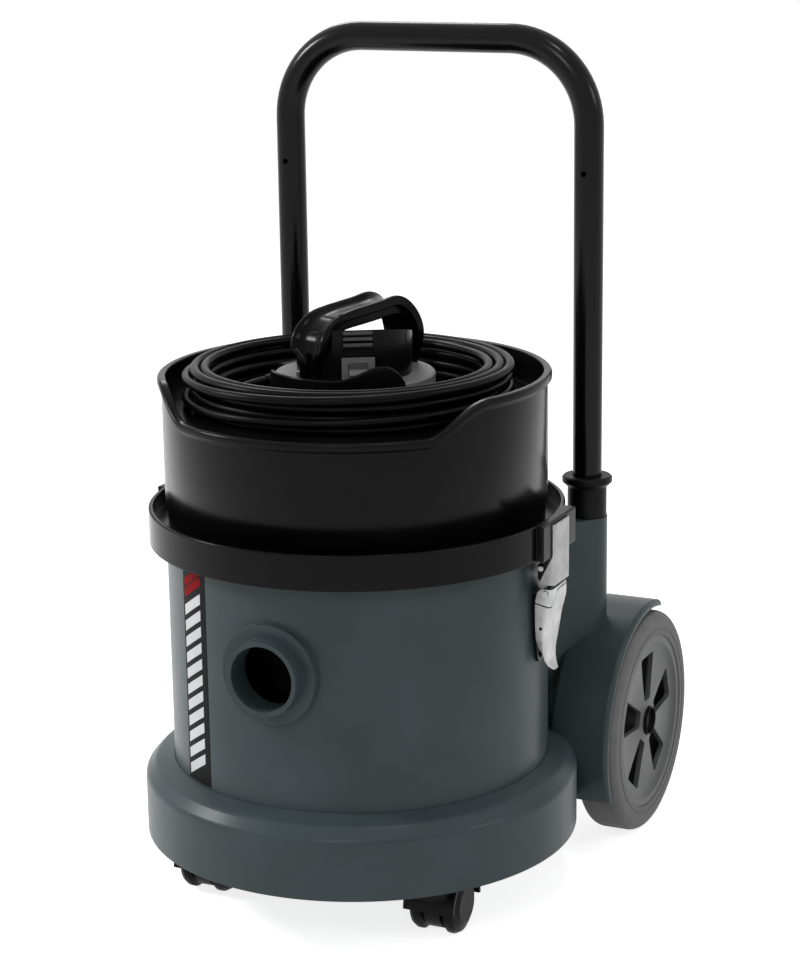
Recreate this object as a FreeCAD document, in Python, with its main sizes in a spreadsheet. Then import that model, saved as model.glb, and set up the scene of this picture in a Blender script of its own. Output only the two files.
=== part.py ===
import FreeCAD, Part
import Sketcher
import math
import os
import re

# Tub vacuum cleaner on two large wheels and two castors, with a tubular push handle.
# Millimetres. The origin is on the floor under the drum's axis, +Z is up and the hose inlet
# faces -Y. Right means +X, as seen by someone who looks at the inlet.

sizes = {
    # drum
    "drum_radius": 160.0,
    "drum_wall": 3.5,
    "drum_floor": 4.0,
    "drum_base": 70.0,
    "drum_height": 248.0,
    "flange_width": 7.0,
    "flange_height": 6.0,
    # hose inlet
    "inlet_height": 234.6,
    "inlet_radius": 27.0,
    "inlet_lining": 1.6,
    "inlet_neck_wall": 2.4,
    "inlet_neck_length": 17.0,
    "inlet_collar_width": 10.5,
    "inlet_collar_length": 5.0,
    # wheeled chassis
    "chassis_wall": 4.0,
    "seat_gap": 0.2,
    "ledge_width": 16.0,
    "skirt_width": 25.0,
    "skirt_drop": 10.0,
    "skirt_height": 50.0,
    "ledge_rise": 10.0,
    "ledge_slope": 5.5,
    "skirt_round": 7.0,
    # wheels and their housings
    "wheel_radius": 100.0,
    "wheel_width": 38.4,
    "wheel_mid": 172.2,
    "axle_behind": 21.6,
    "axle_radius": 8.0,
    "running_gap": 0.05,
    "well_gap": 2.5,
    "arch_gap": 4.5,
    "arch_wall": 5.5,
    "arch_width": 54.0,
    "arch_tail": 30.0,
    "arch_round": 4.0,
    "block_radius": 96.0,
    "block_width": 34.0,
    "disc_radius": 78.0,
    "disc_web": 6.0,
    "disc_back": 2.0,
    "disc_recess": 5.0,
    "disc_rim": 5.0,
    "hub_radius": 19.0,
    "window_start": 25.0,
    "window_end": 61.0,
    "window_narrow": 8.0,
    "window_wide": 26.0,
    "tyre_round": 8.0,
    "hub_cap_radius": 14.0,
    "hub_cap_height": 3.0,
    # push handle and its seats
    "leg_x": 142.1,
    "leg_ahead": 38.2,
    "tube_radius": 12.7,
    "tube_wall": 1.5,
    "handle_top": 709.6,
    "handle_bend": 72.0,
    "tube_gap": 0.1,
    "pillar_radius": 18.0,
    "pillar_below_drum_top": 20.5,
    "pillar_bore_depth": 60.0,
    "socket_radius": 17.15,
    "socket_height": 36.5,
    "socket_lip_radius": 21.9,
    "socket_lip_height": 7.0,
    "accessory_hole_radius": 2.5,
    "accessory_hole_below_top": 111.1,
    "handle_screw_radius": 3.0,
    "screw_gap": 0.2,
    # castors
    "castor_inset": 44.7,
    "castor_bearing": 39.53,
    "castor_trail": 15.0,
    "castor_wheel_radius": 25.0,
    "castor_wheel_width": 14.0,
    "castor_pitch": 31.0,
    "castor_axle_radius": 3.0,
    "castor_plate_side": 42.0,
    "castor_plate_height": 3.0,
    "castor_head_radius": 18.0,
    "castor_stem_radius": 5.0,
    "castor_web": 14.0,
    # ring round the bottom of the head
    "ring_overhang": 14.5,
    "ring_wall": 3.5,
    "ring_drop": 8.0,
    "ring_height": 29.0,
    "seal_height": 3.0,
    "deck_height": 4.0,
    "deck_width": 14.5,
    "pad_half_width": 36.0,
    "pad_proud": 4.0,
    # head
    "head_wall": 3.5,
    "head_inset": 2.0,
    "head_height": 125.0,
    "dip_depth": 25.0,
    "dip_half_bottom": 106.0,
    "dip_half_top": 136.4,
    "dip_turn": 6.5,
    "head_screw_count": 6,
    "head_screw_inset": 4.2,
    "rim_proud": 3.5,
    "rim_band": 6.0,
    "well_depth": 26.5,
    "well_floor": 3.5,
    "plate_height": 4.0,
    "head_gap": 0.3,
    # toggle clamps
    "clamp_half_width": 17.0,
    "clamp_sheet": 2.0,
    "clamp_behind": 10.0,
    "clamp_pivot_out": 12.5,
    "clamp_pivot_below_drum_top": 41.0,
    "clamp_pin_radius": 2.0,
    "bracket_eye_radius": 3.7,
    "lever_length": 71.0,
    "hook_base_below_drum_top": 33.0,
    "hook_top_below_ring_top": 2.5,
    # turret and carry handle
    "turret_radius": 67.0,
    "turret_height": 25.0,
    "turret_wall": 3.0,
    "cowl_radius": 48.0,
    "cowl_facet": 44.0,
    "cowl_front_height": 43.5,
    "cowl_slope": 22.0,
    "cowl_turn": 30.0,
    "grip_half_width": 15.0,
    "grip_reach": 60.0,
    "grip_height": 68.5,
    "grip_bend": 6.0,
    "grip_turn": 60.0,
    # switch
    "panel_width": 27.0,
    "panel_height": 19.0,
    "panel_thickness": 2.0,
    "panel_rise": 1.0,
    "rocker_width": 15.0,
    "rocker_height": 9.0,
    "rocker_gap": 0.5,
    "louvre_count": 3,
    "louvre_width": 24.5,
    "louvre_height": 3.4,
    "louvre_pitch": 6.2,
    "louvre_depth": 3.0,
    # mains cable
    "cable_radius": 3.9,
    "coil_start": 111.5,
    "coil_run_in": 6.0,
    "coil_pitch": 8.4,
    "layer_pitch": 8.8,
    "coil_turn": 235.0,
    "coil_x": -3.5,
    "coil_y": -2.0,
    "gland_out": 8.7,
    "gland_aside": 27.75,
    "gland_rise": 7.5,
    "gland_bearing": 262.0,
    "gland_length": 24.0,
    "gland_radius": 6.5,
    "gland_end_radius": 4.6,
    "plug_length": 40.0,
    "plug_width": 24.0,
    "plug_height": 20.0,
    "plug_relief_length": 25.0,
    "plug_blade_spacing": 12.7,
    "plug_blade_thickness": 1.5,
    "plug_blade_height": 6.3,
    "plug_blade_rise": 1.0,
    "plug_earth_drop": 6.0,
    "plug_earth_width": 4.7,
    "plug_pin_length": 16.8,
    # motor, fan and filters inside the head
    "shaft_radius": 4.0,
    "bearing_gap": 0.05,
    "fan_case_radius": 70.0,
    "fan_case_height": 25.0,
    "fan_case_wall": 2.0,
    "impeller_radius": 62.0,
    "impeller_height": 14.0,
    "motor_radius": 44.0,
    "motor_wall": 8.0,
    "motor_height": 50.0,
    "rotor_radius": 33.0,
    "rotor_height": 32.0,
    "intake_radius": 32.0,
    "grille_height": 3.0,
    "grille_slots": 5,
    "grille_slot": 5.0,
    "grille_pitch": 9.0,
    "grille_slot_reach": 20.0,
    "foam_gap": 14.5,
    "foam_width": 32.0,
    "foam_height": 30.0,
    "filter_frame_height": 4.0,
    "filter_frame_gap": 9.5,
    "filter_frame_width": 9.0,
    "filter_taper": 52.0,
    "filter_depth": 128.0,
    "filter_cloth": 3.0,
    # screws
    "small_screw_radius": 2.0,
    "screw_head_radius": 4.5,
    "screw_head_height": 2.5,
}

# Sizes that follow from the ones above, as the sheet's own formulas
derived = {
    "drum_bore": "drum_radius - drum_wall",
    "drum_top": "drum_base + drum_height",
    "flange_radius": "drum_radius + flange_width",
    "flange_base": "drum_top - flange_height",
    "neck_radius": "inlet_radius + inlet_lining + inlet_neck_wall",
    "lining_radius": "inlet_radius + inlet_lining",
    "collar_radius": "neck_radius + inlet_collar_width",
    "neck_reach": "drum_radius + inlet_neck_length",
    "collar_reach": "drum_radius + inlet_collar_length",
    "plate_base": "drum_base - chassis_wall",
    "seat_radius": "drum_radius + seat_gap",
    "ledge_radius": "drum_radius + ledge_width",
    "skirt_radius": "drum_radius + skirt_width",
    "skirt_base": "plate_base - skirt_drop",
    "skirt_top": "skirt_base + skirt_height",
    "ledge_edge": "skirt_top + ledge_rise",
    "ledge_foot": "ledge_edge + ledge_slope",
    "axle_y": "skirt_radius + axle_behind",
    "wheel_inner": "wheel_mid - 0.5 * wheel_width",
    "wheel_outer": "wheel_mid + 0.5 * wheel_width",
    "well_face": "wheel_inner - well_gap",
    "arch_bore": "wheel_radius + arch_gap",
    "arch_radius": "arch_bore + arch_wall",
    "arch_start": "well_face - 4 * chassis_wall",
    "arch_end": "arch_start + arch_width",
    "block_start": "arch_start - block_width",
    "tail_y": "axle_y + arch_tail",
    "leg_y": "axle_y - leg_ahead",
    "pillar_top": "drum_top - pillar_below_drum_top",
    "socket_top": "pillar_top + socket_height",
    "socket_bore": "tube_radius + tube_gap",
    "leg_base": "pillar_top - pillar_bore_depth",
    "leg_reach": "sqrt(leg_x ^ 2 + leg_y ^ 2)",
    "handle_screw_height": "pillar_top - 0.5 * pillar_bore_depth",
    "accessory_height": "handle_top - accessory_hole_below_top",
    "castor_circle": "skirt_radius - castor_inset",
    "castor_x": "castor_circle * cos(castor_bearing)",
    "castor_y": "castor_circle * sin(castor_bearing)",
    "castor_plate_base": "plate_base - castor_plate_height",
    "ring_radius": "drum_radius + ring_overhang",
    "ring_bore": "ring_radius - ring_wall",
    "ring_base": "drum_top - ring_drop",
    "ring_top": "ring_base + ring_height",
    "pad_face": "ring_radius + pad_proud",
    "deck_base": "drum_top + seal_height",
    "deck_top": "deck_base + deck_height",
    "deck_bore": "drum_bore - deck_width",
    "head_radius": "drum_radius",
    "head_bore": "head_radius - head_wall",
    "head_screw_circle": "head_bore - head_inset - head_screw_inset",
    "rim_top": "deck_top + head_height",
    "dip_top": "rim_top - dip_depth",
    "well_top": "rim_top - well_depth",
    "well_base": "well_top - well_floor",
    "plate_radius": "head_bore - head_inset - head_gap",
    "plate_top": "deck_top + plate_height",
    "clamp_pivot_z": "drum_top - clamp_pivot_below_drum_top",
    "clamp_pivot_x": "drum_radius + clamp_pivot_out",
    "clamp_back": "drum_radius + seat_gap",
    "hook_base": "drum_top - hook_base_below_drum_top",
    "hook_top": "ring_top - hook_top_below_ring_top",
    "hook_back": "pad_face + seat_gap",
    "turret_top": "well_top + turret_height",
    "cowl_top": "turret_top + cowl_front_height",
    "panel_base": "turret_top + panel_rise",
    "rocker_base": "panel_base + 0.5 * panel_height - 0.5 * rocker_height",
    "coil_base": "well_top + cable_radius",
    "fan_case_top": "plate_top + fan_case_height",
    "motor_top": "fan_case_top + motor_height",
    "foam_outer": "head_bore - foam_gap",
    "foam_inner": "foam_outer - foam_width",
    "filter_top": "deck_base - filter_frame_height",
    "filter_frame_outer": "drum_bore - filter_frame_gap",
    "filter_top_radius": "filter_frame_outer - filter_frame_width",
    "filter_bottom_radius": "filter_frame_outer - filter_taper",
}

along_x = FreeCAD.Rotation(FreeCAD.Vector(0, 1, 0), 90)
along_y = FreeCAD.Rotation(FreeCAD.Vector(1, 0, 0), -90)
axes = {"X": along_x, "Y": along_y, "Z": FreeCAD.Rotation()}

doc = FreeCAD.newDocument("TubVacuumCleaner")
sheet = doc.addObject("Spreadsheet::Sheet", "Sizes")
for row, (name, value) in enumerate(sizes.items(), 1):
    sheet.set(f"A{row}", name)
    sheet.set(f"B{row}", str(value))
    sheet.setAlias(f"B{row}", name)
for row, (name, formula) in enumerate(derived.items(), 1):
    sheet.set(f"D{row}", name)
    sheet.set(f"E{row}", "=" + formula)
    sheet.setAlias(f"E{row}", name)
doc.recompute()

subparts = []


def linked(formula):
    """the formula with each size named as a cell of the sheet"""
    return re.sub(r"[a-z]\w*", lambda word: "Sizes." + word.group(), formula)


def amount(formula):
    """the number that a sum of products of sizes comes to"""
    total = 0.0
    for term in formula.replace("-", "+-").replace(" ", "").split("+"):
        if not term:
            continue
        product = 1.0
        for factor in term.lstrip("-").split("*"):
            product *= float(factor) if factor[0].isdigit() else float(sheet.get(factor))
        total += -product if term[0] == "-" else product
    return total


def link(item, links):
    """bind properties of an object to sizes on the sheet"""
    for name, formula in links.items():
        item.setExpression(name, linked(formula))
    return item


def place(item, at, turn=None):
    """turn an object and bind the place of its own origin"""
    if turn:
        item.Placement = FreeCAD.Placement(FreeCAD.Vector(), turn)
    for axis, formula in zip("xyz", at):
        if formula != "0":
            link(item, {".Placement.Base." + axis: formula})
    return item


def cylinder(name, radius, height, at=("0", "0", "0"), axis="Z"):
    item = link(doc.addObject("Part::Cylinder", name), {"Radius": radius, "Height": height})
    return place(item, at, axes[axis])


def cone(name, radius, end_radius, height, at=("0", "0", "0"), turn=None):
    item = doc.addObject("Part::Cone", name)
    link(item, {"Radius1": radius, "Radius2": end_radius, "Height": height})
    return place(item, at, turn)


def block(name, length, width, height, at=("0", "0", "0"), turn=None):
    item = doc.addObject("Part::Box", name)
    link(item, {"Length": length, "Width": width, "Height": height})
    return place(item, at, turn)


def fused(name, pieces):
    item = doc.addObject("Part::MultiFuse", name)
    item.Shapes = pieces
    item.Refine = True
    return item


def common(name, pieces):
    item = doc.addObject("Part::MultiCommon", name)
    item.Shapes = pieces
    item.Refine = True
    return item


def cut(name, base, tools):
    item = doc.addObject("Part::Cut", name)
    item.Base = base
    item.Tool = tools[0] if len(tools) == 1 else fused(name + "Tools", tools)
    item.Refine = True
    return item


def mirrored(name, source):
    """the same piece on the other side of the X = 0 plane"""
    item = doc.addObject("Part::Mirroring", name)
    item.Source = source
    item.Normal = FreeCAD.Vector(1, 0, 0)
    return item


def rounded(name, base, radius, chosen):
    """fillet the edges that the test picks"""
    doc.recompute()
    item = doc.addObject("Part::Fillet", name)
    item.Base = base
    size = amount(radius)
    edges = [i for i, edge in enumerate(base.Shape.Edges, 1) if chosen(edge)]
    item.Edges = [(i, size, size) for i in edges]
    return item


def ring_edge(radius, height):
    """a test for a level circular edge of that radius at that height"""
    def chosen(edge):
        curve = edge.Curve
        return (isinstance(curve, Part.Circle) and abs(curve.Radius - amount(radius)) < 0.01
                and abs(curve.Center.z - amount(height)) < 0.01)
    return chosen


def sketched_plane(body, name, role):
    """an empty sketch on one of the body's own planes"""
    sketch = body.newObject("Sketcher::SketchObject", name)
    plane = next(item for item in body.Origin.OriginFeatures if item.Role == role)
    sketch.AttachmentSupport = (plane, [""])
    sketch.MapMode = "FlatFace"
    return sketch


def pin_point(sketch, piece, end, x, y):
    """bind one point of a sketch to the sheet"""
    for kind, formula, axis in (("DistanceX", x, -2), ("DistanceY", y, -1)):
        if formula == "0":
            sketch.addConstraint(Sketcher.Constraint("PointOnObject", piece, end, axis))
            continue
        rule = Sketcher.Constraint(kind, -1, 1, piece, end, amount(formula))
        number = sketch.addConstraint(rule)
        sketch.setExpression(f"Constraints[{number}]", linked(formula))


def sketched(body, name, role, corners):
    """a closed outline of straight lines whose corners are bound to the sheet"""
    sketch = sketched_plane(body, name, role)
    points = [FreeCAD.Vector(amount(x), amount(y), 0) for x, y in corners]
    for start, end in zip(points, points[1:] + points[:1]):
        sketch.addGeometry(Part.LineSegment(start, end), False)
    for line, (x, y) in enumerate(corners):
        follower = (line + 1) % len(corners)
        sketch.addConstraint(Sketcher.Constraint("Coincident", line, 2, follower, 1))
        pin_point(sketch, line, 1, x, y)
    return sketch


def turned(name, corners, at=("0", "0", "0"), turn=None):
    """a body turned about its own Z axis from a half section of (radius, height) corners"""
    body = doc.addObject("PartDesign::Body", name)
    feature = body.newObject("PartDesign::Revolution", name + "Turn")
    sketch = sketched(body, name + "Section", "XZ_Plane", corners)
    feature.Profile = sketch
    feature.ReferenceAxis = (sketch, ["V_Axis"])
    feature.Angle = 360
    body.Tip = feature
    return place(body, at, turn)


def extruded(name, role, corners, depth, at=("0", "0", "0"), turn=None):
    """a body pushed out evenly to both sides of one of its own planes"""
    body = doc.addObject("PartDesign::Body", name)
    sketch = sketched(body, name + "Outline", role, corners)
    feature = body.newObject("PartDesign::Pad", name + "Pad")
    feature.Profile = sketch
    feature.SideType = "Symmetric"
    link(feature, {"Length": depth})
    body.Tip = feature
    return place(body, at, turn)


def subpart(label, item):
    """name a finished piece"""
    item.Label = label
    subparts.append(item)
    return item


def both_sides(label, item):
    """name a right-hand piece and its mirror image"""
    subpart("right_" + label, item)
    return subpart("left_" + label, mirrored("Left" + item.Name, item))


# Drum: an open tub with a flange under its rim and the inlet's collar and neck at the front

def make_drum(rivet_holes):
    tub = turned("Tub", [
        ("0", "drum_base"), ("drum_radius", "drum_base"), ("drum_radius", "flange_base"),
        ("flange_radius", "flange_base"), ("flange_radius", "drum_top"),
        ("drum_bore", "drum_top"), ("drum_bore", "drum_base + drum_floor"),
        ("0", "drum_base + drum_floor")])
    collar = cylinder("InletCollar", "collar_radius", "collar_reach",
                      ("0", "-collar_reach", "inlet_height"), "Y")
    neck = cylinder("InletNeck", "neck_radius", "neck_reach",
                    ("0", "-neck_reach", "inlet_height"), "Y")
    inside = cylinder("DrumInside", "drum_radius - 0.5 * drum_wall", "drum_height",
                      ("0", "0", "drum_base"))
    inlet = cut("InletBoss", fused("InletSteps", [collar, neck]), [inside])
    bore = cylinder("InletBore", "lining_radius", "neck_reach", ("0", "-neck_reach", "inlet_height"),
                    "Y")
    holes = rivet_holes + [mirrored("Left" + hole.Name, hole) for hole in rivet_holes]
    subpart("drum", cut("Drum", fused("TubWithInlet", [tub, inlet]), [bore] + holes))
    lining = cylinder("LiningOutside", "lining_radius", "inlet_neck_length + 2 * drum_wall",
                      ("0", "-neck_reach", "inlet_height"), "Y")
    hole = cylinder("LiningHole", "inlet_radius", "neck_reach", ("0", "-neck_reach", "inlet_height"),
                    "Y")
    subpart("inlet_lining", cut("InletLining", lining, [hole]))


# Chassis: one moulding with the skirt, the wheel housings and the pillars of the push handle

def make_skirt():
    section = turned("Skirt", [
        ("0", "plate_base"), ("skirt_radius - chassis_wall", "plate_base"),
        ("skirt_radius - chassis_wall", "skirt_base"), ("skirt_radius", "skirt_base"),
        ("skirt_radius", "skirt_top"), ("ledge_radius", "ledge_edge"),
        ("seat_radius", "ledge_foot"), ("seat_radius", "ledge_foot - chassis_wall"),
        ("ledge_radius - 0.5 * chassis_wall", "ledge_edge - chassis_wall"),
        ("skirt_radius - chassis_wall", "skirt_top - 0.5 * chassis_wall"),
        ("skirt_radius - chassis_wall", "drum_base"), ("0", "drum_base")])
    outer_corner = ring_edge("skirt_radius", "skirt_top")
    inner_corner = ring_edge("ledge_radius", "ledge_edge")
    return rounded("RoundedSkirt", section, "skirt_round",
                   lambda edge: outer_corner(edge) or inner_corner(edge))


def end_rim(radius):
    """a test for the circular edges at both ends of a cylinder"""
    def chosen(edge):
        return isinstance(edge.Curve, Part.Circle) and abs(edge.Curve.Radius - amount(radius)) < 0.01
    return chosen


def make_housing():
    """the right wheel housing: an arch over the wheel, its inboard block and the handle's pillar"""
    hub = ("axle_y", "wheel_radius")
    arch = cylinder("ArchOutside", "arch_radius", "arch_width", ("arch_start", *hub), "X")
    arch = rounded("RoundedArch", arch, "arch_round", end_rim("arch_radius"))
    inboard = cylinder("InboardBlock", "block_radius", "block_width + chassis_wall",
                       ("block_start", *hub), "X")
    inboard = rounded("RoundedBlock", inboard, "arch_round", end_rim("block_radius"))
    reach = block("HousingReach", "arch_end", "2 * arch_radius", "2 * arch_radius",
                  ("0", "tail_y - 2 * arch_radius", "skirt_base"))
    wheel_part = common("WheelHousing", [fused("ArchAndBlock", [arch, inboard]), reach])
    pillar = cylinder("PillarColumn", "pillar_radius", "pillar_top - wheel_radius",
                      ("leg_x", "leg_y", "wheel_radius"))
    bearing = math.degrees(math.atan2(amount("leg_y"), amount("leg_x")))
    web = extruded("PillarWeb", "XY_Plane", [
        ("drum_bore", "-pillar_radius"), ("leg_reach", "-pillar_radius"),
        ("leg_reach", "pillar_radius"), ("drum_bore", "pillar_radius")],
        "2 * pillar_top - 2 * wheel_radius", ("0", "0", "wheel_radius"),
        FreeCAD.Rotation(FreeCAD.Vector(0, 0, 1), bearing))
    above_hub = block("AboveHub", "arch_end", "tail_y", "pillar_top - wheel_radius",
                      ("0", "0", "wheel_radius"))
    below = cylinder("UnderPillar", "block_radius - 0.5 * chassis_wall", "arch_end", ("0", *hub), "X")
    upright = common("PillarAboveHub", [fused("PillarAndWeb", [pillar, web]), above_hub])
    return fused("Housing", [wheel_part, cut("Upright", upright, [below])])


def make_housing_hollow():
    """the open space under the inboard block, kept clear of the skirt and of the drum's seat"""
    space = cylinder("BlockHollow", "block_radius - chassis_wall",
                     "well_face - block_start - 2 * chassis_wall",
                     ("block_start + chassis_wall", "axle_y", "wheel_radius"), "X")
    limit = block("HollowReach", "arch_end", "2 * arch_radius", "2 * arch_radius",
                  ("0", "tail_y - chassis_wall - 2 * arch_radius", "0"))
    skirt_wall = cylinder("SkirtWall", "skirt_radius", "ledge_foot", ("0", "0", "0"))
    seat_wall = cylinder("SeatWall", "seat_radius + chassis_wall", "drum_top", ("0", "0", "0"))
    return cut("HousingHollow", common("HollowInReach", [space, limit]), [skirt_wall, seat_wall])


def make_chassis():
    housing = make_housing()
    hollow = make_housing_hollow()
    well = cylinder("WheelWell", "arch_bore", "arch_width", ("well_face", "axle_y", "wheel_radius"), "X")
    leg_hole = cylinder("LegHole", "socket_bore", "pillar_bore_depth + tube_gap",
                        ("leg_x", "leg_y", "leg_base - tube_gap"))
    screw_hole = cylinder("PillarScrewHole", "handle_screw_radius + screw_gap", "2 * pillar_radius",
                          ("leg_x", "leg_y", "handle_screw_height"), "Y")
    right_holes = [hollow, well, leg_hole, screw_hole]
    left_holes = [mirrored("Left" + item.Name, item) for item in right_holes]
    seat = cylinder("DrumSeat", "seat_radius", "drum_height", ("0", "0", "drum_base"))
    axle_hole = cylinder("AxleHole", "axle_radius + running_gap", "2 * arch_end",
                         ("-arch_end", "axle_y", "wheel_radius"), "X")
    solid = fused("ChassisSolid", [make_skirt(), housing, mirrored("LeftHousing", housing)])
    subpart("chassis", cut("Chassis", solid, right_holes + left_holes + [seat, axle_hole]))


# Push handle: one bent tube, the sockets that collar it and the screws that hold it

def handle_path(body):
    """the tube's centre line: two legs, two bends and the grip"""
    sketch = sketched_plane(body, "HandlePath", "XZ_Plane")
    leg, bend = amount("leg_x"), amount("handle_bend")
    base, top = amount("leg_base"), amount("handle_top")
    corners = [(-leg, base), (-leg, top - bend), (-leg + bend, top), (leg - bend, top),
               (leg, top - bend), (leg, base)]
    names = [("-leg_x", "leg_base"), ("-leg_x", "handle_top - handle_bend"),
             ("-leg_x + handle_bend", "handle_top"), ("leg_x - handle_bend", "handle_top"),
             ("leg_x", "handle_top - handle_bend"), ("leg_x", "leg_base")]
    points = [FreeCAD.Vector(x, z, 0) for x, z in corners]
    for first in (0, 2, 4):
        line = sketch.addGeometry(Part.LineSegment(points[first], points[first + 1]), False)
        for end, (x, z) in ((1, names[first]), (2, names[first + 1])):
            pin_point(sketch, line, end, x, z)
    left_centre = FreeCAD.Vector(-leg + bend, top - bend, 0)
    right_centre = FreeCAD.Vector(leg - bend, top - bend, 0)
    up = FreeCAD.Vector(0, 0, 1)
    left = sketch.addGeometry(Part.ArcOfCircle(Part.Circle(left_centre, up, bend),
                                               math.pi / 2, math.pi), False)
    right = sketch.addGeometry(Part.ArcOfCircle(Part.Circle(right_centre, up, bend),
                                                0, math.pi / 2), False)
    for arc, arc_end, line, line_end in ((left, 2, 0, 2), (left, 1, 1, 1),
                                         (right, 2, 1, 2), (right, 1, 2, 1)):
        sketch.addConstraint(Sketcher.Constraint("Coincident", arc, arc_end, line, line_end))
    for arc in (left, right):
        number = sketch.addConstraint(Sketcher.Constraint("Radius", arc, bend))
        sketch.setExpression(f"Constraints[{number}]", linked("handle_bend"))
    return sketch


def make_push_handle():
    body = doc.addObject("PartDesign::Body", "HandleTube")
    path = handle_path(body)
    profile = sketched_plane(body, "HandleSection", "XY_Plane")
    link(profile, {".AttachmentOffset.Base.z": "leg_base"})
    for radius in ("tube_radius", "tube_radius - tube_wall"):
        centre = FreeCAD.Vector(-amount("leg_x"), 0, 0)
        circle = Part.Circle(centre, FreeCAD.Vector(0, 0, 1), amount(radius))
        ring = profile.addGeometry(circle, False)
        pin_point(profile, ring, 3, "-leg_x", "0")
        number = profile.addConstraint(Sketcher.Constraint("Radius", ring, amount(radius)))
        profile.setExpression(f"Constraints[{number}]", linked(radius))
    pipe = body.newObject("PartDesign::AdditivePipe", "HandlePipe")
    pipe.Profile = profile
    pipe.Spine = path
    body.Tip = pipe
    place(body, ("0", "leg_y", "0"))
    hole = cylinder("AccessoryHole", "accessory_hole_radius", "2 * tube_radius",
                    ("leg_x", "leg_y - 2 * tube_radius", "accessory_height"), "Y")
    screw_hole = cylinder("TubeScrewHole", "handle_screw_radius + screw_gap", "2 * tube_radius",
                          ("leg_x", "leg_y", "handle_screw_height"), "Y")
    tools = [hole, screw_hole, mirrored("LeftHole", hole), mirrored("LeftScrewHole", screw_hole)]
    subpart("push_handle", cut("PushHandle", body, tools))


def make_handle_sockets():
    lip_base = "socket_top - socket_lip_height"
    socket = turned("Socket", [
        ("socket_bore", "pillar_top"), ("socket_radius", "pillar_top"),
        ("socket_radius", lip_base + " - 2 * tube_wall"), ("socket_lip_radius - tube_wall", lip_base),
        ("socket_lip_radius", lip_base + " + tube_wall"), ("socket_lip_radius", "socket_top - tube_wall"),
        ("socket_lip_radius - tube_wall", "socket_top"), ("socket_bore", "socket_top")],
        ("leg_x", "leg_y", "0"))
    both_sides("handle_socket", socket)


def screw(name, radius, head_radius, head_height, length, at, turn=None):
    """a button-headed screw whose head seats at its own origin and whose shank points down"""
    body = turned(name, [
        ("0", "-" + length), (radius, "-" + length), (radius, "0"), (head_radius, "0"),
        (head_radius, "0.5 * " + head_height), (radius, head_height), ("0", head_height)], at, turn)
    return body


def make_handle_screws():
    right = screw("HandleScrew", "handle_screw_radius", "2 * handle_screw_radius",
                  "handle_screw_radius", "pillar_radius",
                  ("leg_x", "leg_y + pillar_radius", "handle_screw_height"), along_y)
    pair = doc.addObject("Part::Compound", "HandleScrews")
    pair.Links = [right, mirrored("LeftHandleScrew", right)]
    subpart("handle_screws", pair)


# Rear axle and wheels: a tyre on a moulded disc with five windows, and a cap over the axle's end

def make_axle():
    subpart("rear_axle", cylinder("Axle", "axle_radius", "2 * wheel_outer - 2 * disc_recess",
                                  ("-wheel_outer + disc_recess", "axle_y", "wheel_radius"), "X"))


def make_wheels():
    hub = ("wheel_mid", "axle_y", "wheel_radius")
    half = "0.5 * wheel_width"
    web_top = half + " - disc_recess"
    body = turned("WheelDisc", [
        ("axle_radius + running_gap", "-" + half), ("disc_radius", "-" + half),
        ("disc_radius", half + " - 0.5 * disc_recess"),
        ("disc_radius - disc_rim", half + " - 0.5 * disc_recess"),
        ("disc_radius - disc_rim - 0.5 * disc_recess", web_top), ("axle_radius + running_gap", web_top)],
        hub, along_x)
    window = sketched(body, "WheelWindow", "XY_Plane", [
        ("window_start", "-0.5 * window_narrow"), ("window_end", "-0.5 * window_wide"),
        ("window_end", "0.5 * window_wide"), ("window_start", "0.5 * window_narrow")])
    opening = body.newObject("PartDesign::Pocket", "WheelOpening")
    opening.Profile = window
    opening.Reversed = True
    link(opening, {"Length": "wheel_width"})
    openings = body.newObject("PartDesign::PolarPattern", "WheelOpenings")
    openings.Originals = [opening]
    openings.Axis = (window, ["N_Axis"])
    openings.Angle = 360
    openings.Occurrences = 5
    body.Tip = openings
    cavity = turned("WheelCavity", [
        ("hub_radius", "-" + half + " + disc_back"), ("disc_radius - disc_rim", "-" + half + " + disc_back"),
        ("disc_radius - disc_rim", web_top + " - disc_web"), ("hub_radius", web_top + " - disc_web")],
        hub, along_x)
    both_sides("wheel_disc", cut("HollowWheel", body, [cavity]))
    tyre = turned("Tyre", [
        ("disc_radius", "-" + half), ("wheel_radius - tyre_round", "-" + half),
        ("wheel_radius", "-" + half + " + tyre_round"), ("wheel_radius", half + " - tyre_round"),
        ("wheel_radius - tyre_round", half), ("disc_radius", half)], hub, along_x)
    both_sides("tyre", tyre)
    cap = turned("HubCap", [
        ("0", web_top), ("hub_cap_radius", web_top),
        ("hub_cap_radius", web_top + " + 0.5 * hub_cap_height"),
        ("0.5 * hub_cap_radius", web_top + " + hub_cap_height"), ("0", web_top + " + hub_cap_height")],
        hub, along_x)
    both_sides("hub_cap", cap)


# Castors: a plate and stem, a hood that swivels on the stem, an axle and two wheels

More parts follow.
